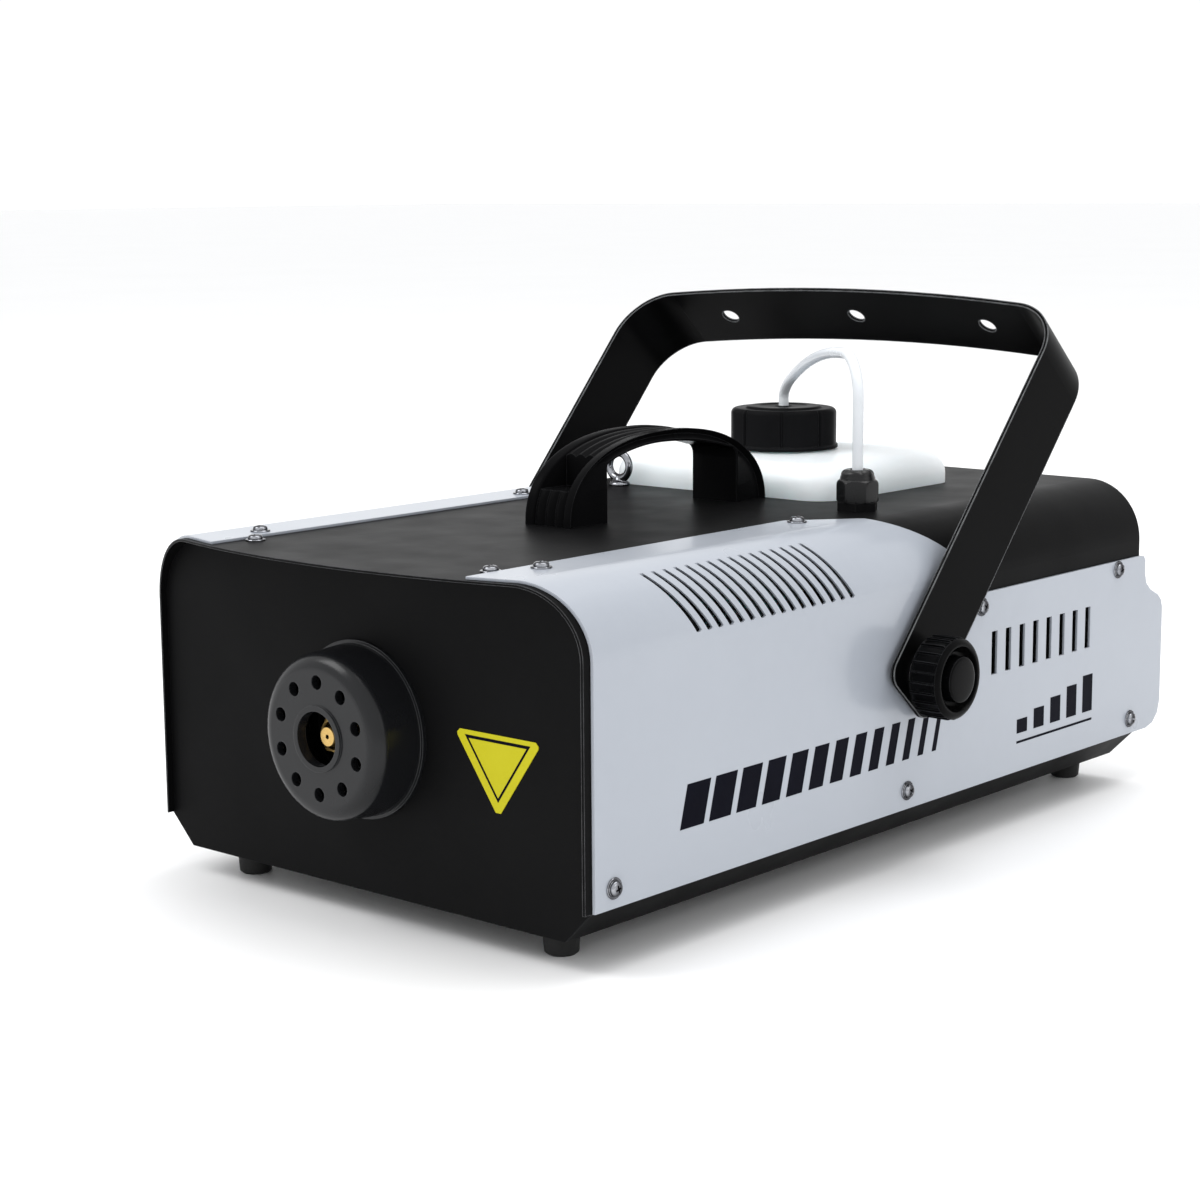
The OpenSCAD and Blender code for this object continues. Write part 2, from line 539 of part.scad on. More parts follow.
module gland_body() color([0.04, 0.04, 0.04]) place() translate([gland_x, gland_y, 0]) difference() {
    union() {
        translate([0, 0, ch]) cylinder(r = 10.35, h = 4.2, $fn = 6);
        translate([0, 0, ch - 11]) cylinder(r = 7.6, h = 12);
        translate([0, 0, ch + 4]) cylinder(r = 7.4, h = 9);
    }
    translate([0, 0, ch - 20]) cylinder(r = 4, h = 60);
    translate([0, 0, ch + 7]) cylinder(r = 5.2, h = 20);
}
module gland_nut() color([0.04, 0.04, 0.04]) place() translate([gland_x, gland_y, ch + 4.2]) difference() {
    union() {
        cylinder(r = 10, h = 10.4, $fn = 6);
        translate([0, 0, 10.4]) cylinder(r1 = 8.4, r2 = 7.9, h = 1.6);
        translate([0, 0, 12]) cylinder(r1 = 7.9, r2 = 5.6, h = 3.3);
    }
    translate([0, 0, -1]) cylinder(r = 7.4, h = 10.1);
    translate([0, 0, -1]) cylinder(r = tube_r + 0.1, h = 40);
}
module gland_seal() color([0.1, 0.1, 0.1]) place() translate([gland_x, gland_y, ch + 7]) difference() {
    cylinder(r = 5.2, h = 6.3);
    translate([0, 0, -1]) cylinder(r = tube_r, h = 40);
}
module gland_locknut() color([0.04, 0.04, 0.04]) place() translate([gland_x, gland_y, ih - 5]) difference() {
    cylinder(r = 10.9, h = 5, $fn = 6);
    translate([0, 0, -1]) cylinder(r = 7.6, h = 10);
}

grip_mid = grip_y + grip_l/2;
function grip_out(a) = let(n = a < 90 ? 2.32 : 2.15)
    [-sign(cos(a))*grip_l/2*pow(abs(cos(a)), 2/n), grip_h*pow(sin(a), 2/n)];
function grip_roof(y) = 33.9 - (y < 183 ? 0.00454 : 0.00253)*(y - 183)*(y - 183);
module carry_handle() color([0.04, 0.04, 0.042]) place() difference() {
    translate([-grip_w/2, grip_mid, ch]) rotate([90, 0, 90]) linear_extrude(grip_w)
        polygon([for (a = [0 : 3 : 180]) grip_out(a)]);
    translate([-30, 0, ch]) rotate([90, 0, 90]) linear_extrude(60) polygon(concat([[144, -1]],
        [for (y = [144 : 5.25 : 233.2]) [y, grip_roof(y)]],
        [for (t = [0 : 15 : 90]) [233.5 + 5.5*sin(t), 21.9 + 5.5*cos(t)]], [[239, -1]]));
    box([-9, grip_y - 5, ch + 16], [9, grip_y + 23, ch + 60]);
    box([-9, grip_y + grip_l - 18, ch + 16], [9, grip_y + grip_l + 5, ch + 60]);
    for (y = grip_screw_y, x = [-7, 7]) translate([x, y, ch - 1]) cylinder(r = 2, h = 9);
}
module safety_eye() color([0.8, 0.8, 0.82]) place() translate([eye_x, eye_y, 0]) {
    translate([0, 0, ch]) cylinder(r1 = 5.6, r2 = 4.8, h = 1.8);
    translate([0, 0, ch + 1.8]) cylinder(r1 = 4.8, r2 = 2.4, h = 1.6);
    translate([0, 0, ch - 9]) cylinder(r = 3, h = 12);
    translate([0, 0, ch + 10]) rotate([90, 0, 0]) rotate_extrude($fn = 64)
        translate([6.6, 0]) circle(2, $fn = 32);
}
module eye_nut() color([0.7, 0.7, 0.7]) place() translate([eye_x, eye_y, ih - 5]) difference() {
    cylinder(r = 5.6, h = 5, $fn = 6);
    translate([0, 0, -1]) cylinder(r = 3, h = 10);
}

// Yoke profile: local X across, local Y up the arms
bow_r = (strap_mid*strap_mid + bar_bow*bar_bow)/(2*bar_bow);
bow_c = yoke_reach - strap_t/2 - bow_r;
bend_r = 28;
bend_x = strap_mid - bend_r;
bend_v = bow_c + sqrt(pow(bow_r - bend_r, 2) - bend_x*bend_x);
bow_a = asin(bend_x/(bow_r - bend_r));
module arc_band(r, t) difference() { circle(r + t/2, $fn = 360); circle(r - t/2, $fn = 360); }
module yoke_2d() {
    for (s = [0, 1]) mirror([s, 0]) {
        translate([arm_in, -15]) square([strap_t, bend_v + 15]);
        intersection() {
            translate([bend_x, bend_v]) arc_band(bend_r, strap_t);
            translate([bend_x, bend_v]) polygon([[0, 0], [80, 0], [80, 80], [80*tan(bow_a), 80]]);
        }
    }
    intersection() {
        translate([0, bow_c]) arc_band(bow_r, strap_t);
        translate([0, bow_c]) polygon([[0, 0], [2000*tan(bow_a), 2000], [-2000*tan(bow_a), 2000]]);
    }
}
module yoke() color([0.05, 0.05, 0.055]) place()
    translate([0, pivot_y, pivot_z]) rotate([90 - yoke_tilt, 0, 0])
    difference() {
        linear_extrude(strap_w, center = true) yoke_2d();
        rotate([0, 90, 0]) translate([0, 0, -200]) cylinder(r = 4 + run, h = 400);
        for (x = [-81.5, 0, 81.5]) translate([x, yoke_reach - 30, 0]) rotate([-90, 0, 0])
            cylinder(r = bar_hole_r, h = 60);
        for (s = [0, 1]) mirror([0, 0, s]) translate([-200, 0, 0]) rotate([90, 0, 90]) linear_extrude(400)
            difference() {
                translate([-16, strap_w/2 - 8]) square([9, 9]);
                translate([-7, strap_w/2 - 8]) circle(8);
            }
    }
flute_n = 24;
module knob_right() color([0.04, 0.04, 0.04]) place() translate([arm_in + strap_t + 1.5, pivot_y, pivot_z])
    rotate([0, 90, 0]) difference() {
        union() {
            cylinder(r = 12, h = 4.4);
            translate([0, 0, 3.8]) cylinder(r1 = knob_r - 1.2, r2 = knob_r, h = 1.2);
            translate([0, 0, 5]) cylinder(r = knob_r, h = 10.6);
            translate([0, 0, 15.6]) cylinder(r1 = knob_r, r2 = knob_r - 1.4, h = 2.5);
            translate([0, 0, 18.1]) cylinder(r1 = knob_r - 1.4, r2 = knob_r - 3.7, h = 1.2);
            cylinder(r = 10.5, h = 21.2);
        }
        for (a = [0 : flute_n - 1]) rotate(a*360/flute_n)
            translate([knob_r + 0.5, 0, -1]) cylinder(r = 1.5, h = 18.4);
        difference() {
            translate([0, 0, 14.2]) cylinder(r1 = 11.9, r2 = 15.1, h = 5.4);
            translate([0, 0, 12]) cylinder(r = 10.5, h = 10);
        }
        translate([0, 0, -1]) cylinder(r = 4, h = 12);
    }
module knob_left() mirror([1, 0, 0]) knob_right();
module stud_right() color([0.72, 0.72, 0.72]) place() translate([0, pivot_y, pivot_z])
    x_rod(4, half - 20, arm_in + strap_t + 12.5);
module stud_left() mirror([1, 0, 0]) stud_right();
module pivot_ring(r, a, b) translate([0, pivot_y, pivot_z]) difference() {
    x_rod(r, a, b);
    x_rod(4 + run, a - 1, b + 1);
}
module arm_spacers() color([0.05, 0.05, 0.05]) place() sides() pivot_ring(13, half, arm_in);
module arm_washers() color([0.75, 0.75, 0.75]) place() sides()
    pivot_ring(10, arm_in + strap_t, arm_in + strap_t + 1.5);
module pivot_nuts() color([0.72, 0.72, 0.72]) place() sides() {
    pivot_ring(6.05, iw - 14, half);
    pivot_ring(9, iw - 2.5, iw);
}

board = [[-116, 60], [-56, 170]];
board_z = 10;
module board_posts() color([0.78, 0.62, 0.3]) place()
    for (x = [board[0][0] + 5, board[1][0] - 5], y = [board[0][1] + 5, board[1][1] - 5])
    translate([x, y, plate_t]) cylinder(r = 3, h = board_z - plate_t, $fn = 6);
module control_board() color([0.05, 0.25, 0.12]) place()
    box([board[0][0], board[0][1], board_z], [board[1][0], board[1][1], board_z + 1.6]);
module board_parts() color([0.08, 0.08, 0.1]) place() translate([0, 0, board_z + 1.6]) {
    box([-108, 70, 0], [-80, 100, 28]);
    box([-76, 70, 0], [-61, 90, 16]);
    box([-76, 96, 0], [-61, 116, 16]);
    box([-108, 140, 0], [-64, 150, 12]);
    translate([-100, 118, 0]) cylinder(r = 6.5, h = 22);
    translate([-82, 118, 0]) cylinder(r = 5, h = 14);
    box([-98, 156, 0], [-70, 164, 9]);
}
module receiver() color([0.05, 0.2, 0.35]) place() {
    box([-110, 122 + 8, board_z + 1.6], [-108.4, 138 + 8, board_z + 22]);
    translate([-106.4, 134, board_z + 10]) cylinder(r = 1.2, h = 18);
    box([-108.4, 132, board_z + 9], [-105.4, 140, board_z + 14]);
}
module terminal_block() color([0.8, 0.8, 0.76]) place() difference() {
    box([82, 350, plate_t], [104, 400, plate_t + 16]);
    for (i = [0 : 4]) translate([86, 355 + i*10, plate_t + 6]) cube([6, 6, 20]);
    for (i = [0 : 4]) translate([94, 355 + i*10, plate_t + 6]) cube([6, 6, 20]);
}
module wire(r, h) { cylinder(r = r, h = h, $fn = 24); }
module wiring() color([0.6, 0.1, 0.08]) place() {
    for (i = [0 : 2]) {
        translate([104, 368 + i*10, 6]) rotate([0, 90, 0]) wire(1.2, 6 + i*3);
        translate([110 + i*3, 368 + i*10, 6]) rotate([90, 0, 0]) wire(1.2, 170 + i*10);
    }
}
module power_inlet() color([0.04, 0.04, 0.04]) place() translate([inlet_x, body_l, port_z]) difference() {
    union() {
        box([-13.6, -28, -10.1], [13.6, 1, 10.1]);
        box([-16, 0, -12.5], [16, 2.5, 12.5]);
    }
    box([-12, -16, -8], [12, 5, 8]);
    pin_boxes();
}
module pin_boxes() for (p = [[-7, -1], [7, -1], [0, 3]])
    box([p[0] - 1, -34, p[1] - 2], [p[0] + 1, -2, p[1] + 2]);
module inlet_pins() color([0.8, 0.75, 0.6]) place() translate([inlet_x, body_l, port_z]) pin_boxes();

// Rocker switch: the rocker turns about X inside a round pocket
rock_y = -3; rock_r = 10.5; rock_w = 7.9; rock_rest = 10;
module switch_frame() color([0.04, 0.04, 0.04]) place() translate([switch_x, body_l, port_z]) difference() {
    union() {
        box([-11, -24, -14], [11, 1, 14]);
        box([-13.5, 0, -16.5], [13.5, 2.5, 16.5]);
    }
    translate([0, rock_y, 0]) x_rod(rock_r + run, -rock_w - run, rock_w + run);
    box([-rock_w - run, rock_y, -rock_r - run], [rock_w + run, 5, rock_r + run]);
}
module switch_rocker() color([0.6, 0.05, 0.04]) place() translate([switch_x, body_l + rock_y, port_z])
    rotate([-rock_rest, 0, 0]) intersection() {
        x_rod(rock_r, -rock_w, rock_w);
        translate([-20, 0, 0]) rotate([90, 0, 90]) linear_extrude(40)
            polygon([[-11, -11], [4.6, -11], [6.2, 0], [4.6, 11], [-11, 11]]);
    }
module fuse_holder() color([0.04, 0.04, 0.04]) place() translate([fuse_x, body_l, port_z]) difference() {
    union() { y_rod(6.2, -32, 1); y_rod(8.6, 0, 2.5); }
    y_rod(4.5, -22, 5);
}
module fuse_cap() color([0.04, 0.04, 0.04]) place() translate([fuse_x, body_l, port_z]) difference() {
    union() { y_rod(4.5 - run, -20, 4); y_rod(7, 2.5, 9); }
    box([-4, 7.8, -0.7], [4, 12, 0.7]);
}
module remote_socket() color([0.1, 0.1, 0.1]) place() translate([remote_x, body_l, port_z]) difference() {
    union() { y_rod(8, -18, 1); y_rod(11, 0, 2); }
    difference() {
        y_rod(6.4, -8, 5);
        for (a = [0 : 4]) rotate([0, 45*a, 0]) translate([-4, 0, 0]) y_rod(0.7, -9, -1);
    }
}

module front_label() color([0.95, 0.75, 0.05]) place() along(-0.3, 0)
    polygon([[58.5, 79.6], [100.5, 79.6], [102, 78.2], [101.9, 76.9], [80.9, 47.3], [78.1, 47.3],
        [57.1, 76.9], [57, 78.2]]);

base_tray();
front_plate();
rear_plate();
top_cover();
panel_right();
panel_left();
feet();
foot_screws();
case_screws();
case_nuts();
nozzle_guard();
guard_screws();
nozzle();
heater_block();
heating_elements();
heat_blanket();
heater_brackets();
thermostats();
thermal_fuse();
pump_body();
pump_coil();
pump_plunger();
pump_spring();
pump_bracket();
tube_fittings();
feed_tube();
pickup_tube();
tank_filter();
tank();
tank_cap();
cap_liner();
gland_body();
gland_nut();
gland_seal();
gland_locknut();
carry_handle();
safety_eye();
eye_nut();
yoke();
knob_right();
knob_left();
stud_right();
stud_left();
arm_spacers();
arm_washers();
pivot_nuts();
control_board();
board_parts();
board_posts();
receiver();
terminal_block();
wiring();
power_inlet();
inlet_pins();
switch_frame();
switch_rocker();
fuse_holder();
fuse_cap();
remote_socket();
front_label();
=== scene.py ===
import json
import math

import bmesh
import bpy
from mathutils import Matrix, Vector


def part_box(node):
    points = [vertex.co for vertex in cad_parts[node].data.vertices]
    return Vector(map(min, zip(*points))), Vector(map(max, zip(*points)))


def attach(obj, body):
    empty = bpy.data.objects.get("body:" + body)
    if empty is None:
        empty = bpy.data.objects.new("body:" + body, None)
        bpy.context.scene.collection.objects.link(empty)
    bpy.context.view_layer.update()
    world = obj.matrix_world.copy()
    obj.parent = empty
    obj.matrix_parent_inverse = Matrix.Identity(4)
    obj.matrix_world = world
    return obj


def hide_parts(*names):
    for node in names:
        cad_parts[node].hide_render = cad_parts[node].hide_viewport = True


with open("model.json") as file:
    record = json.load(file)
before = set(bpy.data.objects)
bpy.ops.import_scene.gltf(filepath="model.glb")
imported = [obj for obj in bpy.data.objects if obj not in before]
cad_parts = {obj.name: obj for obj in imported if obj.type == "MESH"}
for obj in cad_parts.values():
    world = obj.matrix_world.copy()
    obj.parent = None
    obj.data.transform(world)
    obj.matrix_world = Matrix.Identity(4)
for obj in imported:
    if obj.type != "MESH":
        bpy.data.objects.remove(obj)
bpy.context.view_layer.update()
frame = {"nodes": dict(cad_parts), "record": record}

# ---------------------------------------------------------------- frame of the case
# Lengths below are in millimetres in the case's own axes: x across, y back from the
# front plate, z up from the case bottom. P() puts such a point in the row frame.
Y0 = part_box("front_plate")[0].y
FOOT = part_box("base_tray")[0].z
TAU = 2 * math.pi


def P(x, y, z):
    return Vector((x / 1000, Y0 + y / 1000, FOOT + z / 1000))


HALF, TOP, COVER = 130.0, 146.0, 144.8
PIVOT_Y, PIVOT_Z = 221.0, 77.5
TANK = (-20.5, 321.0)
CAP = (-20.0, 322.0)
CAP_Z = 162.8
GLAND = (77.0, 251.5)
EYE = (-76.7, 256.8)
REAR_Y = 430.0


# ---------------------------------------------------------------- mesh helpers
def mesh_object(name, verts, faces, mats, body, replaces=(), sharp=35, face_mats=None):
    """A piece from points in metres. Edges sharper than `sharp` degrees stay crisp."""
    mesh = bpy.data.meshes.new(name)
    mesh.from_pydata([tuple(v) for v in verts], [], faces)
    for m in mats if isinstance(mats, (list, tuple)) else [mats]:
        mesh.materials.append(m)
    if face_mats:
        mesh.polygons.foreach_set("material_index", face_mats)
    obj = bpy.data.objects.new(name, mesh)
    bpy.context.scene.collection.objects.link(obj)
    tidy(obj, sharp)
    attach(obj, body)
    if replaces:
        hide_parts(*replaces)
    return obj


def tidy(obj, sharp):
    bm = bmesh.new()
    bm.from_mesh(obj.data)
    bmesh.ops.remove_doubles(bm, verts=bm.verts, dist=1e-7)
    bmesh.ops.recalc_face_normals(bm, faces=bm.faces)
    for f in bm.faces:
        f.smooth = True
    limit = math.radians(sharp)
    for e in bm.edges:
        e.smooth = e.is_manifold and e.calc_face_angle(0) < limit
    bm.to_mesh(obj.data)
    bm.free()
    obj.data.update()


def apply_modifiers(obj, sharp=35):
    dg = bpy.context.evaluated_depsgraph_get()
    mesh = bpy.data.meshes.new_from_object(obj.evaluated_get(dg))
    obj.modifiers.clear()
    obj.data = mesh
    tidy(obj, sharp)


def cut(obj, cutter, sharp=35):
    """Takes the cutter's shape out of obj."""
    m = obj.modifiers.new("cut", "BOOLEAN")
    m.operation, m.solver, m.object = "DIFFERENCE", "EXACT", cutter
    apply_modifiers(obj, sharp)
    bpy.data.objects.remove(cutter, do_unlink=True)


def cutter_object(verts, faces):
    mesh = bpy.data.meshes.new("cutter")
    mesh.from_pydata([tuple(v) for v in verts], [], faces)
    obj = bpy.data.objects.new("cutter", mesh)
    bpy.context.scene.collection.objects.link(obj)
    bm = bmesh.new()
    bm.from_mesh(mesh)
    bmesh.ops.recalc_face_normals(bm, faces=bm.faces)
    bm.to_mesh(mesh)
    bm.free()
    return obj


BOX_FACES = [(0, 1, 3, 2), (4, 6, 7, 5), (0, 4, 5, 1), (2, 3, 7, 6), (0, 2, 6, 4), (1, 5, 7, 3)]


def box_cutter(lo, hi):
    x0, y0, z0 = lo
    x1, y1, z1 = hi
    v = [P(x, y, z) for x in (x0, x1) for y in (y0, y1) for z in (z0, z1)]
    return cutter_object(v, BOX_FACES)


def rows_to_faces(rows, n, closed=True, start=0, cap_first=False, cap_last=False):
    """Faces of a skin over `rows` rings of n points each."""
    faces = []
    for i in range(rows - 1):
        for j in range(n if closed else n - 1):
            k = (j + 1) % n
            a, b = start + i * n, start + (i + 1) * n
            faces.append((a + j, a + k, b + k, b + j))
    if cap_first:
        faces.append(tuple(start + j for j in reversed(range(n))))
    if cap_last:
        faces.append(tuple(start + (rows - 1) * n + j for j in range(n)))
    return faces


def turned(profile, n, radius=lambda r, z, a: r):
    """Local points and faces of a profile [(r, z)] turned about Z. radius() may shape it."""
    verts = [(radius(r, z, TAU * j / n) * math.cos(TAU * j / n),
              radius(r, z, TAU * j / n) * math.sin(TAU * j / n), z)
             for r, z in profile for j in range(n)]
    return verts, rows_to_faces(len(profile), n, True, 0, profile[0][0] > 0, profile[-1][0] > 0)


def arc(cx, cz, r, a0, a1, n):
    """Points of an arc in a profile, angles in degrees."""
    return [(cx + r * math.cos(math.radians(a0 + (a1 - a0) * i / n)),
             cz + r * math.sin(math.radians(a0 + (a1 - a0) * i / n))) for i in range(n + 1)]


class Parts:
    """Gathers local shapes, in millimetres, into one mesh."""

    def __init__(self):
        self.verts, self.faces, self.mats = [], [], []

    def add(self, shape, place, mat=0):
        verts, faces = shape
        k = len(self.verts)
        self.verts += [place(Vector(v)) for v in verts]
        self.faces += [tuple(k + i for i in f) for f in faces]
        self.mats += [mat] * len(faces)

    def make(self, name, mats, body, slot, replaces=(), sharp=35):
        return mesh_object(name, self.verts, self.faces, mats, body, replaces, sharp, self.mats)


def placed(origin, axis=(0, 0, 1), spin=0.0):
    """A function that puts a local point (mm, Z along axis) at origin in the row frame."""
    q = Vector((0, 0, 1)).rotation_difference(Vector(axis)).to_matrix()
    q = q @ Matrix.Rotation(math.radians(spin), 3, "Z")
    base = Vector(origin)
    return lambda v: base + (q @ v) / 1000


# ---------------------------------------------------------------- material helpers
class Finish:
    """Builds one procedural material: base colour with variation, roughness, grain, edges."""

    def __init__(self, name):
        self.mat = bpy.data.materials.new(name)
        self.mat.use_nodes = True
        self.tree = self.mat.node_tree
        self.tree.nodes.clear()
        self.out = self.node("ShaderNodeOutputMaterial")
        self.bsdf = self.node("ShaderNodeBsdfPrincipled")
        self.tree.links.new(self.bsdf.outputs[0], self.out.inputs[0])
        self.coord = self.node("ShaderNodeTexCoord").outputs["Object"]
        self.normal = None

    def node(self, kind, **inputs):
        n = self.tree.nodes.new(kind)
        for key, value in inputs.items():
            n.inputs[key.replace("_", " ")].default_value = value
        return n

    def link(self, a, b):
        self.tree.links.new(a, b)

    def noise(self, scale, detail=3.0, rough=0.5, stretch=None):
        n = self.node("ShaderNodeTexNoise", Scale=scale, Detail=detail, Roughness=rough)
        vector = self.coord
        if stretch:
            m = self.node("ShaderNodeMapping")
            m.inputs["Scale"].default_value = stretch
            self.link(vector, m.inputs["Vector"])
            vector = m.outputs[0]
        self.link(vector, n.inputs["Vector"])
        return n.outputs["Fac"]

    def spread(self, value, lo, hi, to_lo, to_hi):
        n = self.node("ShaderNodeMapRange")
        for i, v in enumerate((lo, hi, to_lo, to_hi)):
            n.inputs[1 + i].default_value = v
        self.link(value, n.inputs[0])
        return n.outputs[0]

    def mix(self, fac, a, b):
        n = self.tree.nodes.new("ShaderNodeMix")
        n.data_type = "RGBA"
        for socket, value in ((n.inputs[6], a), (n.inputs[7], b)):
            if isinstance(value, tuple):
                socket.default_value = (*value, 1)
            else:
                self.link(value, socket)
        self.link(fac, n.inputs[0])
        return n.outputs[2]

    def times(self, a, b):
        n = self.tree.nodes.new("ShaderNodeMath")
        n.operation = "MULTIPLY"
        self.link(a, n.inputs[0])
        if isinstance(b, (int, float)):
            n.inputs[1].default_value = b
        else:
            self.link(b, n.inputs[1])
        return n.outputs[0]

    def bump(self, height, strength, distance):
        n = self.node("ShaderNodeBump", Strength=strength, Distance=distance)
        self.link(height, n.inputs["Height"])
        if self.normal:
            self.link(self.normal, n.inputs["Normal"])
        self.normal = n.outputs[0]

    def edges(self, radius):
        """Rounds the edges in the shading and gives a mask that is 1 along them."""
        bevel = self.tree.nodes.new("ShaderNodeBevel")
        bevel.samples = 4
        bevel.inputs["Radius"].default_value = radius
        self.normal = bevel.outputs[0]
        flat = self.tree.nodes.new("ShaderNodeNewGeometry").outputs["Normal"]
        dot = self.tree.nodes.new("ShaderNodeVectorMath")
        dot.operation = "DOT_PRODUCT"
        self.link(bevel.outputs[0], dot.inputs[0])
        self.link(flat, dot.inputs[1])
        return self.spread(dot.outputs["Value"], 0.995, 0.85, 0.0, 1.0)

    def done(self, colour, rough, **constants):
        for socket, value in (("Base Color", colour), ("Roughness", rough)):
            if isinstance(value, tuple):
                self.bsdf.inputs[socket].default_value = (*value, 1)
            elif isinstance(value, float):
                self.bsdf.inputs[socket].default_value = value
            else:
                self.link(value, self.bsdf.inputs[socket])
        for key, value in constants.items():
            self.bsdf.inputs[key.replace("_", " ")].default_value = value
        if self.normal:
            self.link(self.normal, self.bsdf.inputs["Normal"])
        return self.mat


def finish(name, base, other, rough, rough_span=0.06, grain=((900, 0.1, 0.0002),), edge=None,
           edge_radius=0.0005, patch=25.0, stretch=None, **constants):
    """A surface with slow colour and gloss changes, fine grain and, if asked, a painted highlight along its
    edges.
    """
    f = Finish(name)
    mask = f.edges(edge_radius) if edge else None
    slow = f.noise(patch, 4.0, 0.55)
    fine = f.noise(patch * 18, 2.0, 0.5, stretch)
    colour = f.mix(f.spread(slow, 0.3, 0.7, 0.0, 1.0), base, other)
    specks_and_edge_highlight = f.mix(f.spread(fine, 0.35, 0.75, 0.0, 0.35), colour, other)
    if edge:
        # painted highlight: a lighter colour along the edges, broken up by noise
        painted_edge_highlight = f.times(mask, f.spread(f.noise(140, 3.0), 0.25, 0.6, 0.45, 1.0))
        specks_and_edge_highlight = f.mix(f.times(painted_edge_highlight, edge[1]), specks_and_edge_highlight, edge[0])
    gloss = f.spread(f.noise(patch * 2.7, 3.0), 0.25, 0.75, rough - rough_span, rough + rough_span)
    for scale, strength, distance in grain:
        f.bump(f.noise(scale, 2.0, 0.5, stretch), strength, distance)
    return f.done(specks_and_edge_highlight, gloss, **constants)


# In the coats and plastics below, the tuple after the grain list is the colour and weight of a painted
# highlight along the edges.
BLACK_COAT = finish("black_powder_coat", (0.0020, 0.0020, 0.0022), (0.0032, 0.0032, 0.0035), 0.42, 0.05,
                    ((1100, 0.16, 0.00015), (260, 0.05, 0.0004)), ((0.040, 0.041, 0.044), 0.6),
                    0.0005, 12, Specular_IOR_Level=0.02)
FRONT_COAT = finish("black_front_coat", (0.0032, 0.0032, 0.0034), (0.0044, 0.0044, 0.0047), 0.55, 0.04,
                    ((1300, 0.2, 0.00015),), ((0.04, 0.042, 0.045), 0.6), 0.0005, 10,
                    Specular_IOR_Level=0.05)
GUARD_COAT = finish("black_guard_coat", (0.0068, 0.0072, 0.0082), (0.0088, 0.0092, 0.0104), 0.25, 0.04,
                    ((1200, 0.12, 0.00012),), ((0.055, 0.057, 0.060), 0.85), 0.0006, 14,
                    Specular_IOR_Level=0.28)
COVER_COAT = finish("black_cover_coat", (0.0038, 0.0038, 0.0040), (0.0050, 0.0050, 0.0053), 0.40, 0.05,
                    ((1100, 0.16, 0.00015), (260, 0.05, 0.0004)), ((0.16, 0.163, 0.17), 0.85),
                    0.0006, 12, Specular_IOR_Level=0.03)
YOKE_COAT = finish("yoke_coat", (0.0013, 0.0013, 0.0014), (0.0022, 0.0022, 0.0024), 0.32, 0.05,
                   ((1200, 0.10, 0.00012),), ((0.34, 0.35, 0.36), 1.0), 0.0011, 14,
                   Specular_IOR_Level=0.022)
WHITE_PAINT = finish("white_gloss_paint", (0.345, 0.372, 0.420), (0.370, 0.398, 0.446), 0.30, 0.04,
                     ((420, 0.035, 0.0004), (1600, 0.03, 0.0001)), ((0.70, 0.73, 0.78), 0.5), 0.0005, 9,
                     Coat_Weight=0.35, Coat_Roughness=0.12)
PLASTIC = finish("black_plastic", (0.0068, 0.0068, 0.0072), (0.0090, 0.0090, 0.0096), 0.31, 0.06,
                 ((1500, 0.10, 0.00012),), ((0.060, 0.061, 0.064), 0.7), 0.0004, 20,
                 Specular_IOR_Level=0.006)
GLAND_PLASTIC = finish("gland_plastic", (0.0048, 0.0048, 0.0051), (0.0068, 0.0068, 0.0073), 0.26, 0.05,
                       ((1500, 0.08, 0.00012),), ((0.065, 0.066, 0.070), 0.7), 0.0005, 20,
                       Specular_IOR_Level=0.32)
KNOB_PLASTIC = finish("knob_plastic", (0.0012, 0.0013, 0.0014), (0.0020, 0.0021, 0.0023), 0.24, 0.05,
                      ((1400, 0.08, 0.0001),), ((0.055, 0.056, 0.060), 0.8), 0.0003, 18,
                      Specular_IOR_Level=0.04)
GLOSS_PLASTIC = finish("gloss_black_plastic", (0.0034, 0.0034, 0.0037), (0.0048, 0.0048, 0.0052), 0.24,
                       0.05, ((700, 0.05, 0.0002),), ((0.05, 0.051, 0.054), 0.6), 0.0005, 22,
                       Specular_IOR_Level=0.008)


def plated(name, bright, dark, rough):
    """Plated metal with a painted reflection: its colour is bright at its middle and its rim, and dark in
    between, by how it faces the view.
    """
    f = Finish(name)
    facing = f.node("ShaderNodeLayerWeight", Blend=0.5).outputs["Facing"]
    slow = f.spread(f.noise(420, 2.0), 0.3, 0.7, 0.0, 0.35)
    body = f.mix(slow, bright, dark)
    # painted reflection: dark where the surface turns partly away, bright again towards the rim
    colour = f.mix(f.spread(facing, 0.10, 0.42, 0.0, 0.92), body, dark)
    colour = f.mix(f.spread(facing, 0.62, 0.9, 0.0, 0.8), colour, bright)
    f.bump(f.noise(900, 2.0), 0.05, 0.0002)
    return f.done(colour, f.spread(f.noise(150), 0.3, 0.7, rough - 0.04, rough + 0.06), Metallic=1.0)


# the bright and dark colours are the two tones of the painted reflection
CHROME = plated("chrome", (0.42, 0.43, 0.46), (0.020, 0.020, 0.024), 0.12)
ZINC = finish("zinc_plate", (0.48, 0.48, 0.50), (0.60, 0.60, 0.60), 0.34, 0.08,
              ((900, 0.06, 0.0001),), None, 0, 80, Metallic=1.0)
ALU = finish("machined_aluminium", (0.58, 0.59, 0.60), (0.68, 0.69, 0.70), 0.32, 0.06,
             ((1200, 0.08, 0.0001),), None, 0, 50, (1, 0.08, 1), Metallic=1.0)
BRASS = finish("brass", (0.56, 0.36, 0.11), (0.66, 0.46, 0.18), 0.28, 0.08,
               ((900, 0.05, 0.0001),), None, 0, 60, Metallic=1.0)
RUBBER = finish("rubber", (0.0095, 0.0095, 0.0095), (0.016, 0.016, 0.016), 0.72, 0.06,
                ((700, 0.2, 0.0002),), None, 0, 40, Specular_IOR_Level=0.3)
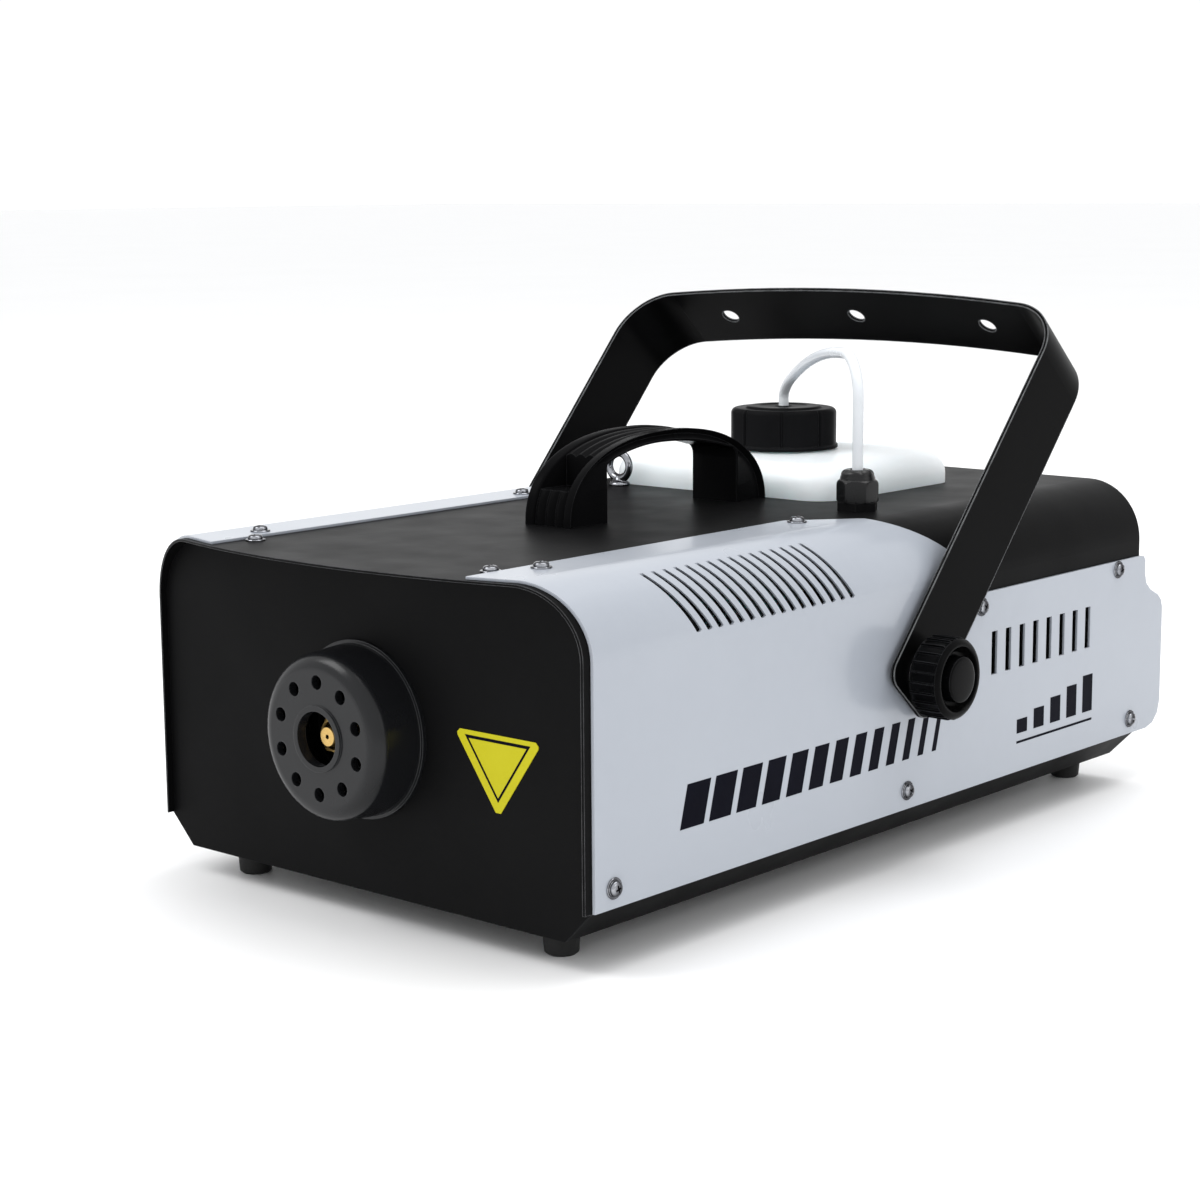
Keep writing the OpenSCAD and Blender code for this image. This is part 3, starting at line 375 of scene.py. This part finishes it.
RED = finish("red_plastic", (0.42, 0.012, 0.010), (0.50, 0.018, 0.014), 0.26, 0.04,
             ((900, 0.04, 0.0001),), None, 0, 40)
CREAM = finish("cream_plastic", (0.62, 0.60, 0.52), (0.70, 0.68, 0.60), 0.45, 0.05,
               ((900, 0.08, 0.0001),), None, 0, 40)
PCB = finish("circuit_board", (0.010, 0.085, 0.035), (0.014, 0.120, 0.050), 0.30, 0.06,
             ((500, 0.06, 0.0002),), None, 0, 90)
COIL = finish("taped_coil", (0.016, 0.016, 0.10), (0.03, 0.03, 0.15), 0.38, 0.06,
              ((240, 0.3, 0.0004),), None, 0, 60, (1, 1, 12))
WIRE = finish("cable_sheath", (0.30, 0.020, 0.015), (0.38, 0.030, 0.022), 0.42, 0.05,
              ((600, 0.08, 0.0002),), None, 0, 50)
BLANKET = finish("glass_felt", (0.060, 0.057, 0.052), (0.085, 0.081, 0.074), 0.92, 0.04,
                 ((380, 0.7, 0.0010), (90, 0.4, 0.002)), None, 0, 40, Sheen_Weight=0.2,
                 Specular_IOR_Level=0.2)
YELLOW = finish("yellow_film", (0.47, 0.43, 0.008), (0.50, 0.46, 0.010), 0.36, 0.04,
                ((800, 0.03, 0.0001),), None, 0, 60, Specular_IOR_Level=0.12)
PRINT = finish("dark_print", (0.0012, 0.0014, 0.0050), (0.0020, 0.0023, 0.0070), 0.45, 0.04,
               ((800, 0.03, 0.0001),), None, 0, 60, Specular_IOR_Level=0.03)
HDPE = finish("milky_tank", (0.83, 0.90, 0.98), (0.87, 0.93, 0.99), 0.34, 0.05,
              ((160, 0.05, 0.0008), (900, 0.04, 0.0002)), None, 0, 16,
              Subsurface_Weight=0.7, Subsurface_Radius=(0.9, 1.0, 1.0), Subsurface_Scale=0.04,
              Specular_IOR_Level=0.4)


def milky(name, middle, rim, rough):
    """A clear-ish plastic tube with painted shade: pale in the middle and greyer where it turns away from
    the view.
    """
    f = Finish(name)
    facing = f.node("ShaderNodeLayerWeight", Blend=0.35).outputs["Facing"]
    body = f.mix(f.spread(f.noise(60, 3.0), 0.3, 0.7, 0.0, 0.4), middle, rim)
    # painted shade: the colour moves to the rim tone where the surface turns away
    colour = f.mix(f.spread(facing, 0.35, 0.95, 0.0, 1.0), body, rim)
    f.bump(f.noise(300, 2.0), 0.03, 0.0002)
    return f.done(colour, f.spread(f.noise(120), 0.3, 0.7, rough - 0.04, rough + 0.04),
                  Specular_IOR_Level=0.45)


HOSE = milky("milky_hose", (0.78, 0.81, 0.84), (0.72, 0.75, 0.79), 0.24)

SLOT_FINISH = {
    "black_steel": BLACK_COAT, "white_steel": WHITE_PAINT, "zinc_steel": ZINC, "bright_steel": CHROME,
    "alu": ALU, "brass": BRASS, "black_plastic": PLASTIC, "gloss_black": GLOSS_PLASTIC,
    "red_plastic": RED, "hdpe": HDPE, "tube": HOSE, "rubber": RUBBER, "blanket": BLANKET, "pcb": PCB,
    "copper_coil": COIL, "yellow": YELLOW, "cream_plastic": CREAM, "wire_red": WIRE,
}
NODE_FINISH = {"front_plate": FRONT_COAT, "yoke": YOKE_COAT, "nozzle_guard": GUARD_COAT,
               "top_cover": COVER_COAT}
for part in frame["record"]["subparts"]:
    obj = frame["nodes"][part["node"]]
    wanted = NODE_FINISH.get(part["node"], SLOT_FINISH[part["material_slot"]])
    for s in obj.material_slots:
        s.material = wanted
    if not obj.material_slots:
        obj.data.materials.append(wanted)

# ---------------------------------------------------------------- carry handle
GRIP_MID, GRIP_A, GRIP_B, GRIP_W = 190.0, 72.0, 39.5, 14.0
WALL0, WALL1, CROWN, CROWN_Y = 144.0, 239.0, 33.9, 183.0


def grip_roof(y):
    return CROWN - (0.00454 if y < CROWN_Y else 0.00253) * (y - CROWN_Y) ** 2


def grip_inner(steps):
    """The opening's outline from the front foot to the rear foot."""
    r0, r1 = 3.0, 5.5
    pts = [(WALL0, (grip_roof(WALL0 + r0) - r0) * i / 26) for i in range(26)]
    pts += arc(WALL0 + r0, grip_roof(WALL0 + r0) - r0, r0, 180, 90, 6)[:-1]
    y0, y1 = WALL0 + r0, WALL1 - r1
    pts += [(y0 + (y1 - y0) * i / steps, grip_roof(y0 + (y1 - y0) * i / steps)) for i in range(steps)]
    pts += arc(y1, grip_roof(y1) - r1, r1, 90, 0, 6)[:-1]
    pts += [(WALL1, (grip_roof(y1) - r1) * (1 - i / 26)) for i in range(27)]
    return pts


def grip_outer(count):
    """The same number of points on the outer curve, and the way out at each."""
    pts = []
    for i in range(count):
        a = math.pi * i / (count - 1)
        c, z = math.cos(a), max(math.sin(a), 0)
        n = 2.32 if c > 0 else 2.15
        y = math.copysign(abs(c) ** (2 / n), c)
        z = z ** (2 / n)
        out = Vector((-math.copysign(abs(y) ** (n - 1), y) / GRIP_A, z ** (n - 1) / GRIP_B)).normalized()
        pts.append((GRIP_MID - GRIP_A * y, GRIP_B * z, out))
    return pts


def grip_section():
    """Across the top: [(x, depth)], rounded rims with ribs sunk between them."""
    rim, ribs = 2.4, []
    for i in range(7):
        a = math.radians(15 * i)
        ribs.append((GRIP_W - rim * (1 - math.sin(a)), rim * (1 - math.cos(math.pi / 2 - a))))
    ribs += [(9.8, 0.0), (9.3, 0.25), (9.0, 0.7)]
    ribs += [(x / 4, 0.45 + 1.25 * (1 - abs(math.cos(math.pi * x / 24)) ** 0.8)) for x in range(35, -1, -1)]
    return [(-x, d) for x, d in ribs] + [(x, d) for x, d in reversed(ribs[:-1])]


def build_grip():
    inner = grip_inner(60)
    outer = grip_outer(len(inner))
    section = grip_section()
    soft = [(GRIP_W, 1.2), (GRIP_W - 0.35, 0.35), (GRIP_W - 1.2, 0)]
    under = soft + [(x, 0) for x in (6, 0, -6)] + [(-x, d) for x, d in reversed(soft)]
    rows = []
    for i, ((y, z, n), (yi, zi)) in enumerate(zip(outer, inner)):
        before, after = inner[max(i - 1, 0)], inner[min(i + 1, len(inner) - 1)]
        t = Vector((after[0] - before[0], after[1] - before[1])).normalized()
        m = Vector((-t.y, t.x))
        ring = [(x, y - n.x * d, max(z - n.y * d, 0)) for x, d in section]
        ring += [(x, yi + m.x * d, max(zi + m.y * d, 0)) for x, d in under]
        rows.append(ring)
    verts = [P(x, y, COVER + z) for ring in rows for x, y, z in ring]
    faces = rows_to_faces(len(rows), len(rows[0]), True, 0, True, True)
    grip = mesh_object("carry_handle_ribbed", verts, faces, GLOSS_PLASTIC, "case",
                       ("carry_handle",))
    for y0, y1 in ((110, 141), (244, 270)):
        cut(grip, box_cutter((-8.9, y0, COVER + 16), (8.9, y1, COVER + 60)), 30)
    return grip


build_grip()


# ---------------------------------------------------------------- tank
def rounded_ring(w, l, r, count, power=2.3):
    """A rounded rectangle of `count` points, from the middle of its right side."""
    pts = []
    for j in range(count):
        a = TAU * j / count
        c, s = math.cos(a), math.sin(a)
        # walk round a square evenly, then round its corners
        k = 1 / max(abs(c), abs(s))
        x, y = c * k * w / 2, s * k * l / 2
        dx, dy = abs(x) - (w / 2 - r), abs(y) - (l / 2 - r)
        if dx > 0 and dy > 0:
            h = (dx ** power + dy ** power) ** (1 / power)
            f = min(1.0, r / h) if h else 1.0
            x = math.copysign(w / 2 - r + dx * f, x)
            y = math.copysign(l / 2 - r + dy * f, y)
        pts.append((x, y))
    return pts


def build_tank():
    count, w, l, top = 160, 139.0, 114.0, 162.2
    levels = [(1.5, 3.0), (2.2, 1.2), (4.0, 0.0)]
    levels += [(z, 0.0) for z in (20, 60, 100, 134, 144)]
    levels += [(top - 12 + 12 * math.sin(math.radians(a)), 12 * (1 - math.cos(math.radians(a))))
               for a in range(0, 91, 9)]
    rows = [[(x, y, z) for x, y in rounded_ring(w - 2 * d, l - 2 * d, max(14 - 0.3 * d, 6), count)]
            for z, d in levels]
    rim = rows[-1]
    neck, nx, ny = 23.0, CAP[0] - TANK[0], CAP[1] - TANK[1]
    for i in range(1, 13):
        t = i / 12
        ring = []
        for x, y, z in rim:
            a = math.atan2(y - ny, x - nx)
            cx_, cy_ = nx + neck * math.cos(a), ny + neck * math.sin(a)
            ring.append((x + (cx_ - x) * t, y + (cy_ - y) * t, top + 0.5 * math.sin(math.pi * t)))
        rows.append(ring)
    turns = [math.atan2(y - ny, x - nx) for x, y, _ in rim]
    for r, rise in ((22.4, 0.25), (22.0, 1.0), (22.0, 2.2), (22.0, 15.4), (21.4, 16), (19.8, 16), (19.8, 2)):
        rows.append([(nx + r * math.cos(a), ny + r * math.sin(a), top + rise) for a in turns])
    pressed = []
    for ring in rows:
        for x, y, z in ring:
            if z > 120:
                # a blow-moulded dent at the front right corner, and a slack front face
                lift = min(max((z - 120) / 20, 0), 1)
                over = 0.60 * x - 0.74 * y + 0.30 * (z - 146) - 80.5
                if over > -3:
                    push = 0.5 * (over + math.sqrt(over * over + 4)) * lift
                    x, y = x - 0.60 * push, y + 0.74 * push
                if z > 150 and math.hypot(x - nx, y - ny) > 26:
                    fall = 1.3 * math.sin((x + 12) / 21) * math.sin((y + 20) / 26)
                    z = min(z + 0.35 * fall - 0.35, top)
            pressed.append((x, y, z))
    verts = [P(TANK[0] + x, TANK[1] + y, z) for x, y, z in pressed]
    faces = rows_to_faces(len(rows), count, True, 0, True, True)
    return mesh_object("tank_moulded", verts, faces, HDPE, "case", ("tank",), 50)


build_tank()


# ---------------------------------------------------------------- filler cap
def lobes(r, z, a):
    """Eight flats between narrow grooves down the side of the cap."""
    if not (1.9 < z < 20.6 and r > 21):
        return r
    d = ((math.degrees(a) + 55 + 22.5) % 45) - 22.5
    fade = min(1, (z - 1.9) / 0.5) * min(1, max(0, (20.7 - z) / 1.2))
    groove = 1.0 * math.exp(-((d / 1.3) ** 2)) - 0.22 * math.exp(-(((abs(d) - 2.6) / 1.0) ** 2))
    flat = 0.5 * (1 - math.cos(math.radians(d * 8))) * 0.5
    return r - fade * (groove + 0.35 - flat)


def build_cap():
    prof = [(22.6, 0), (27.8, 0), (28.1, 0.3), (28.1, 1.6), (27.85, 1.9), (27.55, 2.0), (27.4, 2.3)]
    prof += [(27.4, 2.4 + i * 1.45) for i in range(1, 11)]
    prof += arc(24.6, 17.9, 2.8, 0, 90, 9)
    prof += [(23.6, 20.7), (22.0, 20.62), (20.2, 20.6), (19.9, 20.7), (19.5, 21.1), (19.0, 21.5),
             (18.3, 21.6), (12.5, 21.6), (12.2, 21.45), (11.6, 21.3), (5.2, 21.3), (4.6, 21.4),
             (4.2, 21.6), (3.1, 21.6), (2.9, 21.3), (2.9, 17.6), (22.6, 17.6)]
    n = 720
    verts, _ = turned(prof, n, lobes)
    faces = rows_to_faces(len(prof), n)
    last = (len(prof) - 1) * n
    faces += [(last + j, last + (j + 1) % n, (j + 1) % n, j) for j in range(n)]
    part = Parts()
    part.add((verts, faces), placed(P(*CAP, CAP_Z)))
    return part.make("tank_cap_lobed", [PLASTIC], "cap", "black_plastic", ("tank_cap",), 32)


build_cap()


# ---------------------------------------------------------------- gland nut
def build_gland():
    flat = 8.66

    def hexed(r, z, a):
        if r < 5.0:
            return r
        h = flat / math.cos(((a + math.pi / 6) % (math.pi / 3)) - math.pi / 6)
        notch = 0
        if z > 13.2:
            d = ((math.degrees(a) + 12) % 60) - 30
            notch = 0.6 * math.exp(-((d / 6.5) ** 2)) * min(1, (z - 13.2) / 1.2)
        return min(r, h) - notch

    prof = [(7.5, 0), (9.6, 0), (10.0, 0.4), (10.0, 2), (10.0, 4), (10.0, 6), (10.0, 7.6), (9.95, 8.6),
            (9.7, 9.3), (9.3, 9.9), (8.8, 10.25), (8.45, 10.4), (8.4, 10.9), (8.25, 11.6), (7.95, 12.3)]
    prof += [(5.2 + 2.75 * math.cos(math.radians(a)), 12.3 + 3.0 * math.sin(math.radians(a)))
             for a in range(10, 91, 10)]
    prof += [(4.6, 15.28), (3.9, 15.2), (3.3, 14.9), (2.9, 14.3), (2.9, 11.0), (7.5, 11.0)]
    n = 360
    verts, _ = turned(prof, n, hexed)
    faces = rows_to_faces(len(prof), n)
    last = (len(prof) - 1) * n
    faces += [(last + j, last + (j + 1) % n, (j + 1) % n, j) for j in range(n)]
    part = Parts()
    part.add((verts, faces), placed(P(*GLAND, COVER + 4.2)))
    return part.make("gland_dome_nut", [GLAND_PLASTIC], "case", "black_plastic", ("gland_nut",), 28)


build_gland()


# ---------------------------------------------------------------- hose
HOSE_R, HOSE_IN, RISE_Z, END_R = 2.6, 1.7, 187.8, 20.0
RISE = ((6.5, 0, 50), (42.0, 50, 66))


def hose_route():
    """Centre line: out of the tank, over the arch, down the gland and round to the pump."""
    dx, dy = GLAND[0] - CAP[0], GLAND[1] - CAP[1]
    way, span = math.atan2(dy, dx), math.hypot(dx, dy)

    def at(s, z):
        return Vector((CAP[0] + s * math.cos(way), CAP[1] + s * math.sin(way), z))

    def bend(s, z, r, a, b, n):
        """An arc that starts at (s, z); a and b are its angles from straight up."""
        a, b = math.radians(a), math.radians(b)
        return [(s + r * (math.cos(a) - math.cos(a + (b - a) * i / n)),
                 z + r * (math.sin(a + (b - a) * i / n) - math.sin(a))) for i in range(1, n + 1)]

    path = [(0, 12), (0, 100), (0, 182), (0, RISE_Z)]
    for r, a, b in RISE:
        path += bend(*path[-1], r, a, b, 12)
    a = math.radians(RISE[-1][2])
    path += bend(*path[-1], (span - END_R - path[-1][0]) / math.cos(a), RISE[-1][2], 90, 14)
    path += bend(*path[-1], END_R, 90, 180, 24)
    low = path[-1][1]
    pts = [at(s, z) for s, z in path]
    pts += [Vector((*GLAND, low - (low - 24) * i / 10)) for i in range(1, 11)]
    for i in range(1, 21):
        a = math.pi * i / 20
        pts.append(Vector((GLAND[0], GLAND[1] - 18 + 18 * math.cos(a), 24 - 18 * math.sin(a))))
    pts.append(Vector((GLAND[0], GLAND[1] - 36, 32)))
    return pts


def build_hose():
    pts, n = hose_route(), 24
    rings, side = [[], []], Vector((GLAND[1] - CAP[1], CAP[0] - GLAND[0], 0)).normalized()
    for i, p in enumerate(pts):
        t = (pts[min(i + 1, len(pts) - 1)] - pts[max(i - 1, 0)]).normalized()
        side = (side - side.dot(t) * t).normalized()
        other = t.cross(side)
        for k, r in enumerate((HOSE_R, HOSE_IN)):
            rings[k] += [p + r * (math.cos(TAU * j / n) * side + math.sin(TAU * j / n) * other)
                         for j in range(n)]
    verts = [P(*v) for v in rings[0] + rings[1]]
    half_count = len(rings[0])
    faces = rows_to_faces(len(pts), n) + rows_to_faces(len(pts), n, True, half_count)
    for start in (0, half_count - n):
        faces += [(start + j, start + (j + 1) % n, half_count + start + (j + 1) % n, half_count + start + j)
                  for j in range(n)]
    return mesh_object("pickup_hose", verts, faces, HOSE, "case", ("pickup_tube",), 50)


build_hose()


# ---------------------------------------------------------------- heat blanket
def build_blanket():
    """A stitched felt sleeve round the heater block."""
    lo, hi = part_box("heat_blanket")
    wall, n, rows, pitch = 8.0, 176, 64, 15.0
    w, h, l = (hi.x - lo.x) * 1000, (hi.z - lo.z) * 1000, (hi.y - lo.y) * 1000
    mid = (lo + hi) / 2
    full, small = rounded_ring(w, h, 6, n), rounded_ring(w - 8, h - 8, 4, n)
    inner = rounded_ring(w - 2 * wall + 0.02, h - 2 * wall + 0.02, 0.5, n)
    steps = [math.dist(full[j], full[j - 1]) for j in range(n)]
    around = [sum(steps[:j + 1]) for j in range(n)]
    pitch_a = around[-1] / round(around[-1] / pitch)
    rings = []
    for i in range(rows + 1):
        y = l * i / rows
        end = min(y, l - y)
        ring = []
        for j in range(n):
            puff = abs(math.sin(math.pi * around[j] / pitch_a)) ** 0.5
            puff *= abs(math.sin(math.pi * y / (l / 7))) ** 0.5
            t = (0.15 + 2.3 * (1 - puff) + 1.2 * max(0, 1 - end / 3) ** 2) / 4
            (fx, fz), (sx, sz) = full[j], small[j]
            ring.append((fx + (sx - fx) * t, y, fz + (sz - fz) * t))
        rings.append(ring)
    for y in (l, l / 2, 0):
        rings.append([(x, y, z) for x, z in inner])
    verts = [Vector((mid.x + x / 1000, lo.y + y / 1000, mid.z + z / 1000))
             for ring in rings for x, y, z in ring]
    faces = rows_to_faces(len(rings), n)
    last = (len(rings) - 1) * n
    faces += [(last + j, last + (j + 1) % n, (j + 1) % n, j) for j in range(n)]
    return mesh_object("heat_blanket_quilted", verts, faces, BLANKET, "case",
                       ("heat_blanket",), 50)


build_blanket()


# ---------------------------------------------------------------- clamping knobs
def build_knob(side):
    def fluted(r, z, a):
        if r < 17.6 or z < 3.9:
            return r
        d = abs((math.degrees(a) % 15) - 7.5)
        fade = min(1, (z - 3.9) / 0.6) * min(1, max(0, (17.6 - z) / 1.3))
        return r - fade * 1.0 * (1 - min(1, max(0, (d - 5.9) / 1.1)) ** 1.5)

    prof = [(4.1, 0), (11.6, 0), (12, 0.4), (12, 3.7), (17.4, 3.8), (18.3, 4.1), (18.8, 4.7), (19.0, 5.5)]
    prof += [(19.0, 5.5 + 1.02 * i) for i in range(1, 11)]
    prof += [(18.95, 16.4), (18.75, 17.0), (18.35, 17.7), (17.8, 18.3), (17.1, 18.8), (16.3, 19.12),
             (15.6, 19.22), (15.1, 19.15), (14.8, 18.8), (14.5, 18.0), (14.0, 17.0), (13.3, 15.8),
             (12.6, 14.9), (11.9, 14.4), (11.1, 14.25), (10.65, 14.45), (10.5, 15.0), (10.5, 19.9),
             (10.35, 20.4), (9.9, 20.65), (9.0, 20.8), (6.5, 21.0), (3.2, 21.13), (0.4, 21.16)]
    n = 720
    verts, _ = turned(prof, n, fluted)
    faces = rows_to_faces(len(prof), n, True, 0, False, True)
    faces.append(tuple(reversed(range(n))))
    part = Parts()
    x = side * (HALF + 3 + 2 + 1.5)
    part.add((verts, faces), placed(P(x, PIVOT_Y, PIVOT_Z), (side, 0, 0)))
    word = "right" if side > 0 else "left"
    return part.make(f"knob_{word}_fluted", [KNOB_PLASTIC], f"knob_{word}", "black_plastic",
                     (f"knob_{word}",), 28)


for way in (1, -1):
    build_knob(way)


# ---------------------------------------------------------------- screws
def screw_shape(shank):
    """Flanged pan head with a cross recess, head up, in millimetres."""
    prof = [(0.05, -shank), (1.6, -shank), (2.0, -shank + 0.5), (2.0, 0.02), (4.3, 0.0), (4.5, 0.12),
            (4.5, 0.42), (4.3, 0.66), (3.9, 0.70), (3.5, 0.60), (3.32, 0.72), (3.34, 1.2), (3.25, 1.7),
            (2.95, 2.15), (2.4, 2.46), (1.7, 2.62), (0.9, 2.68), (0.05, 2.7)]
    verts, faces = turned(prof, 48)
    mesh = bpy.data.meshes.new("screw")
    mesh.from_pydata(verts, [], faces)
    head = bpy.data.objects.new("screw", mesh)
    bpy.context.scene.collection.objects.link(head)
    for turn in (0, 90):
        # one arm of the cross recess: a slot that widens upwards
        rot = Matrix.Rotation(math.radians(turn), 3, "Z")
        arm = [rot @ Vector((x * (0.9 + 1.1 * z), y * (0.28 + 0.17 * z), 1.0 + 2.2 * z))
               for x in (-1, 1) for y in (-1, 1) for z in (0, 1)]
        cut(head, cutter_object(arm, BOX_FACES))
    shape = ([tuple(v.co) for v in head.data.vertices], [tuple(p.vertices) for p in head.data.polygons])
    bpy.data.objects.remove(head, do_unlink=True)
    return shape


SIDE_SCREWS = [(12.7, 22.4), (218.2, 22.7), (422.4, 21.9), (406.6, 102.3), (278.8, 100.2)]
TOP_SCREWS = [(85.5, 20.6, TOP), (85.5, 192.4, TOP), (71.6, 5.6, COVER)]
screws, shape = Parts(), screw_shape(8)
for s in (1, -1):
    for i, (y, z) in enumerate(SIDE_SCREWS):
        screws.add(shape, placed(P(s * HALF, y, z), (s, 0, 0), 17 + 31 * i))
    for i, (x, y, z) in enumerate(TOP_SCREWS):
        screws.add(shape, placed(P(s * x, y, z), (0, 0, 1), 24 + 37 * i * s))
    screws.add(shape, placed(P(s * 119, REAR_Y, 27), (0, 1, 0), 40 * s))
    for y in (131.0, 250.7):
        screws.add(shape, placed(P(s * 7, y, COVER - 1.2), (0, 0, -1), 12))
screws.make("case_screws_cross", [CHROME], "case", "bright_steel", ("case_screws",), 30)


# ---------------------------------------------------------------- safety eye
def build_eye():
    part = Parts()
    ring, n, m = [], 72, 28
    for i in range(n):
        a = TAU * i / n
        low = max(0.0, -math.sin(a))
        r = 1.95 + 0.45 * low ** 3
        for j in range(m):
            b = TAU * j / m
            d = 6.6 + r * math.cos(b)
            ring.append((d * math.cos(a), r * math.sin(b), 10 + d * math.sin(a)))
    faces = [(i * m + j, i * m + (j + 1) % m, ((i + 1) % n) * m + (j + 1) % m, ((i + 1) % n) * m + j)
             for i in range(n) for j in range(m)]
    part.add((ring, faces), placed(P(*EYE, COVER)))
    prof = [(5.3, 0), (5.6, 0.3), (5.5, 1.0), (5.0, 1.7), (4.0, 2.3), (3.1, 2.9), (2.6, 3.6), (2.4, 4.2),
            (1.6, 4.4)]
    part.add(turned(prof, 64), placed(P(*EYE, COVER)))
    eye = part.make("safety_eye_forged", [CHROME], "case", "bright_steel", ("safety_eye",), 60)
    weld = eye.modifiers.new("weld", "REMESH")
    weld.mode, weld.voxel_size = "VOXEL", 0.00022
    apply_modifiers(eye, 60)
    soften = eye.modifiers.new("soften", "SMOOTH")
    soften.factor, soften.iterations = 0.5, 12
    apply_modifiers(eye, 60)
    shank = Parts()
    shank.add(turned([(2.6, -9), (3.0, -8.6), (3.0, 0.15)], 48), placed(P(*EYE, COVER)))
    shank.make("safety_eye_thread", [ZINC], "case", "zinc_steel", (), 40)
    return eye


build_eye()


# ---------------------------------------------------------------- printed marks
def flat_marks(name, shapes, mat, slot, place, thick=0.06):
    """Thin printed shapes: outlines in a plane, raised by `thick` millimetres."""
    part = Parts()
    for pts in shapes:
        n = len(pts)
        solid = [(u, v, 0.0) for u, v in pts] + [(u, v, thick) for u, v in pts]
        faces = [tuple(reversed(range(n))), tuple(n + i for i in range(n))]
        faces += [(i, (i + 1) % n, n + (i + 1) % n, n + i) for i in range(n)]
        part.add((solid, faces), place)
    return part.make(name, [mat], "case", slot, (), 30)


def side_marks():
    """A plain row of slanted bars that narrow towards the rear, and a small level sign."""
    shapes, y = [], 54.0
    for i in range(13):
        w = 15.5 - 1.0 * i
        lean = 5.0
        shapes.append([(y, 37.5), (y + w, 37.5), (y + w + lean, 56.0), (y + lean, 56.0)])
        y += w + 3.4 + 0.35 * i
    for i in range(5):
        y, h = 312 + 15.5 * i, 7.0 + 3.0 * i
        shapes.append([(y, 33), (y + 9.5, 33), (y + 9.5, 33 + h), (y, 33 + h)])
    shapes.append([(312, 28.0), (383.5, 28.0), (383.5, 29.2), (312, 29.2)])
    return shapes


flat_marks("side_marks_right", side_marks(), PRINT, "black_plastic",
           lambda v: P(HALF + v.z, v.x, v.y))
flat_marks("side_marks_left", side_marks(), PRINT, "black_plastic",
           lambda v: P(-HALF - v.z, v.x, v.y))


def label_border():
    """Three strips just inside the edges of the front label."""
    outer = [(97.7, 77.6), (61.3, 77.6), (79.5, 51.6)]
    inner = [(95.6, 76.3), (63.4, 76.3), (79.5, 53.4)]
    return [[outer[i], outer[(i + 1) % 3], inner[(i + 1) % 3], inner[i]] for i in range(3)]


flat_marks("label_border", label_border(), PRINT, "black_plastic",
           lambda v: P(v.x, -0.3 - v.z, v.y))


# ---------------------------------------------------------------- camera
cam_data = bpy.data.cameras.new("camera")
cam_data.lens, cam_data.sensor_width = 73.73, 36.0
cam_data.clip_start, cam_data.clip_end = 0.05, 100
cam = bpy.data.objects.new("camera", cam_data)
bpy.context.scene.collection.objects.link(cam)
az, el, roll = math.radians(41.294), math.radians(9.592), math.radians(-0.427)
back = Vector((math.sin(az) * math.cos(el), -math.cos(az) * math.cos(el), math.sin(el)))
right = (-back).cross(Vector((0, 0, 1))).normalized()
up = right.cross(-back)
cx = math.cos(roll) * right + math.sin(roll) * up
cy = -math.sin(roll) * right + math.cos(roll) * up
eye_point = Matrix.Translation((0.7490, Y0 - 0.69915, FOOT + 0.298))
cam.matrix_world = eye_point @ Matrix((cx, cy, back)).transposed().to_4x4()
bpy.context.scene.camera = cam

# ---------------------------------------------------------------- floor, world and lights
floor_mesh = bpy.data.meshes.new("floor")
floor_mesh.from_pydata([(-30, -30, 0), (30, -30, 0), (30, 30, 0), (-30, 30, 0)], [], [(0, 1, 2, 3)])
floor = bpy.data.objects.new("floor", floor_mesh)
bpy.context.scene.collection.objects.link(floor)
floor_mesh.materials.append(finish("floor", (0.93, 0.93, 0.933), (0.945, 0.945, 0.948), 0.55, 0.02,
                                   ((60, 0.01, 0.001),), None, 0, 2, Specular_IOR_Level=0.2))

world = bpy.data.worlds.new("studio")
world.use_nodes = True
world.node_tree.nodes["Background"].inputs[0].default_value = (0.99, 0.995, 1.0, 1)
world.node_tree.nodes["Background"].inputs[1].default_value = 1.04
bpy.context.scene.world = world
bpy.context.scene.view_settings.view_transform = "Standard"


def area(name, place, target, size, power):
    data = bpy.data.lights.new(name, "AREA")
    data.shape, data.size, data.energy = "SQUARE", size, power
    obj = bpy.data.objects.new(name, data)
    bpy.context.scene.collection.objects.link(obj)
    obj.location = place
    obj.rotation_euler = (Vector(target) - Vector(place)).to_track_quat("-Z", "Y").to_euler()


area("key", (-1.3, -1.6, 2.3), (0, 0, 0.1), 1.4, 29)
area("top", (0.3, 0.6, 2.6), (0, 0.1, 0.1), 1.8, 31)
area("side", (2.4, 0.4, 1.1), (0.1, 0.1, 0.1), 1.2, 3.0)
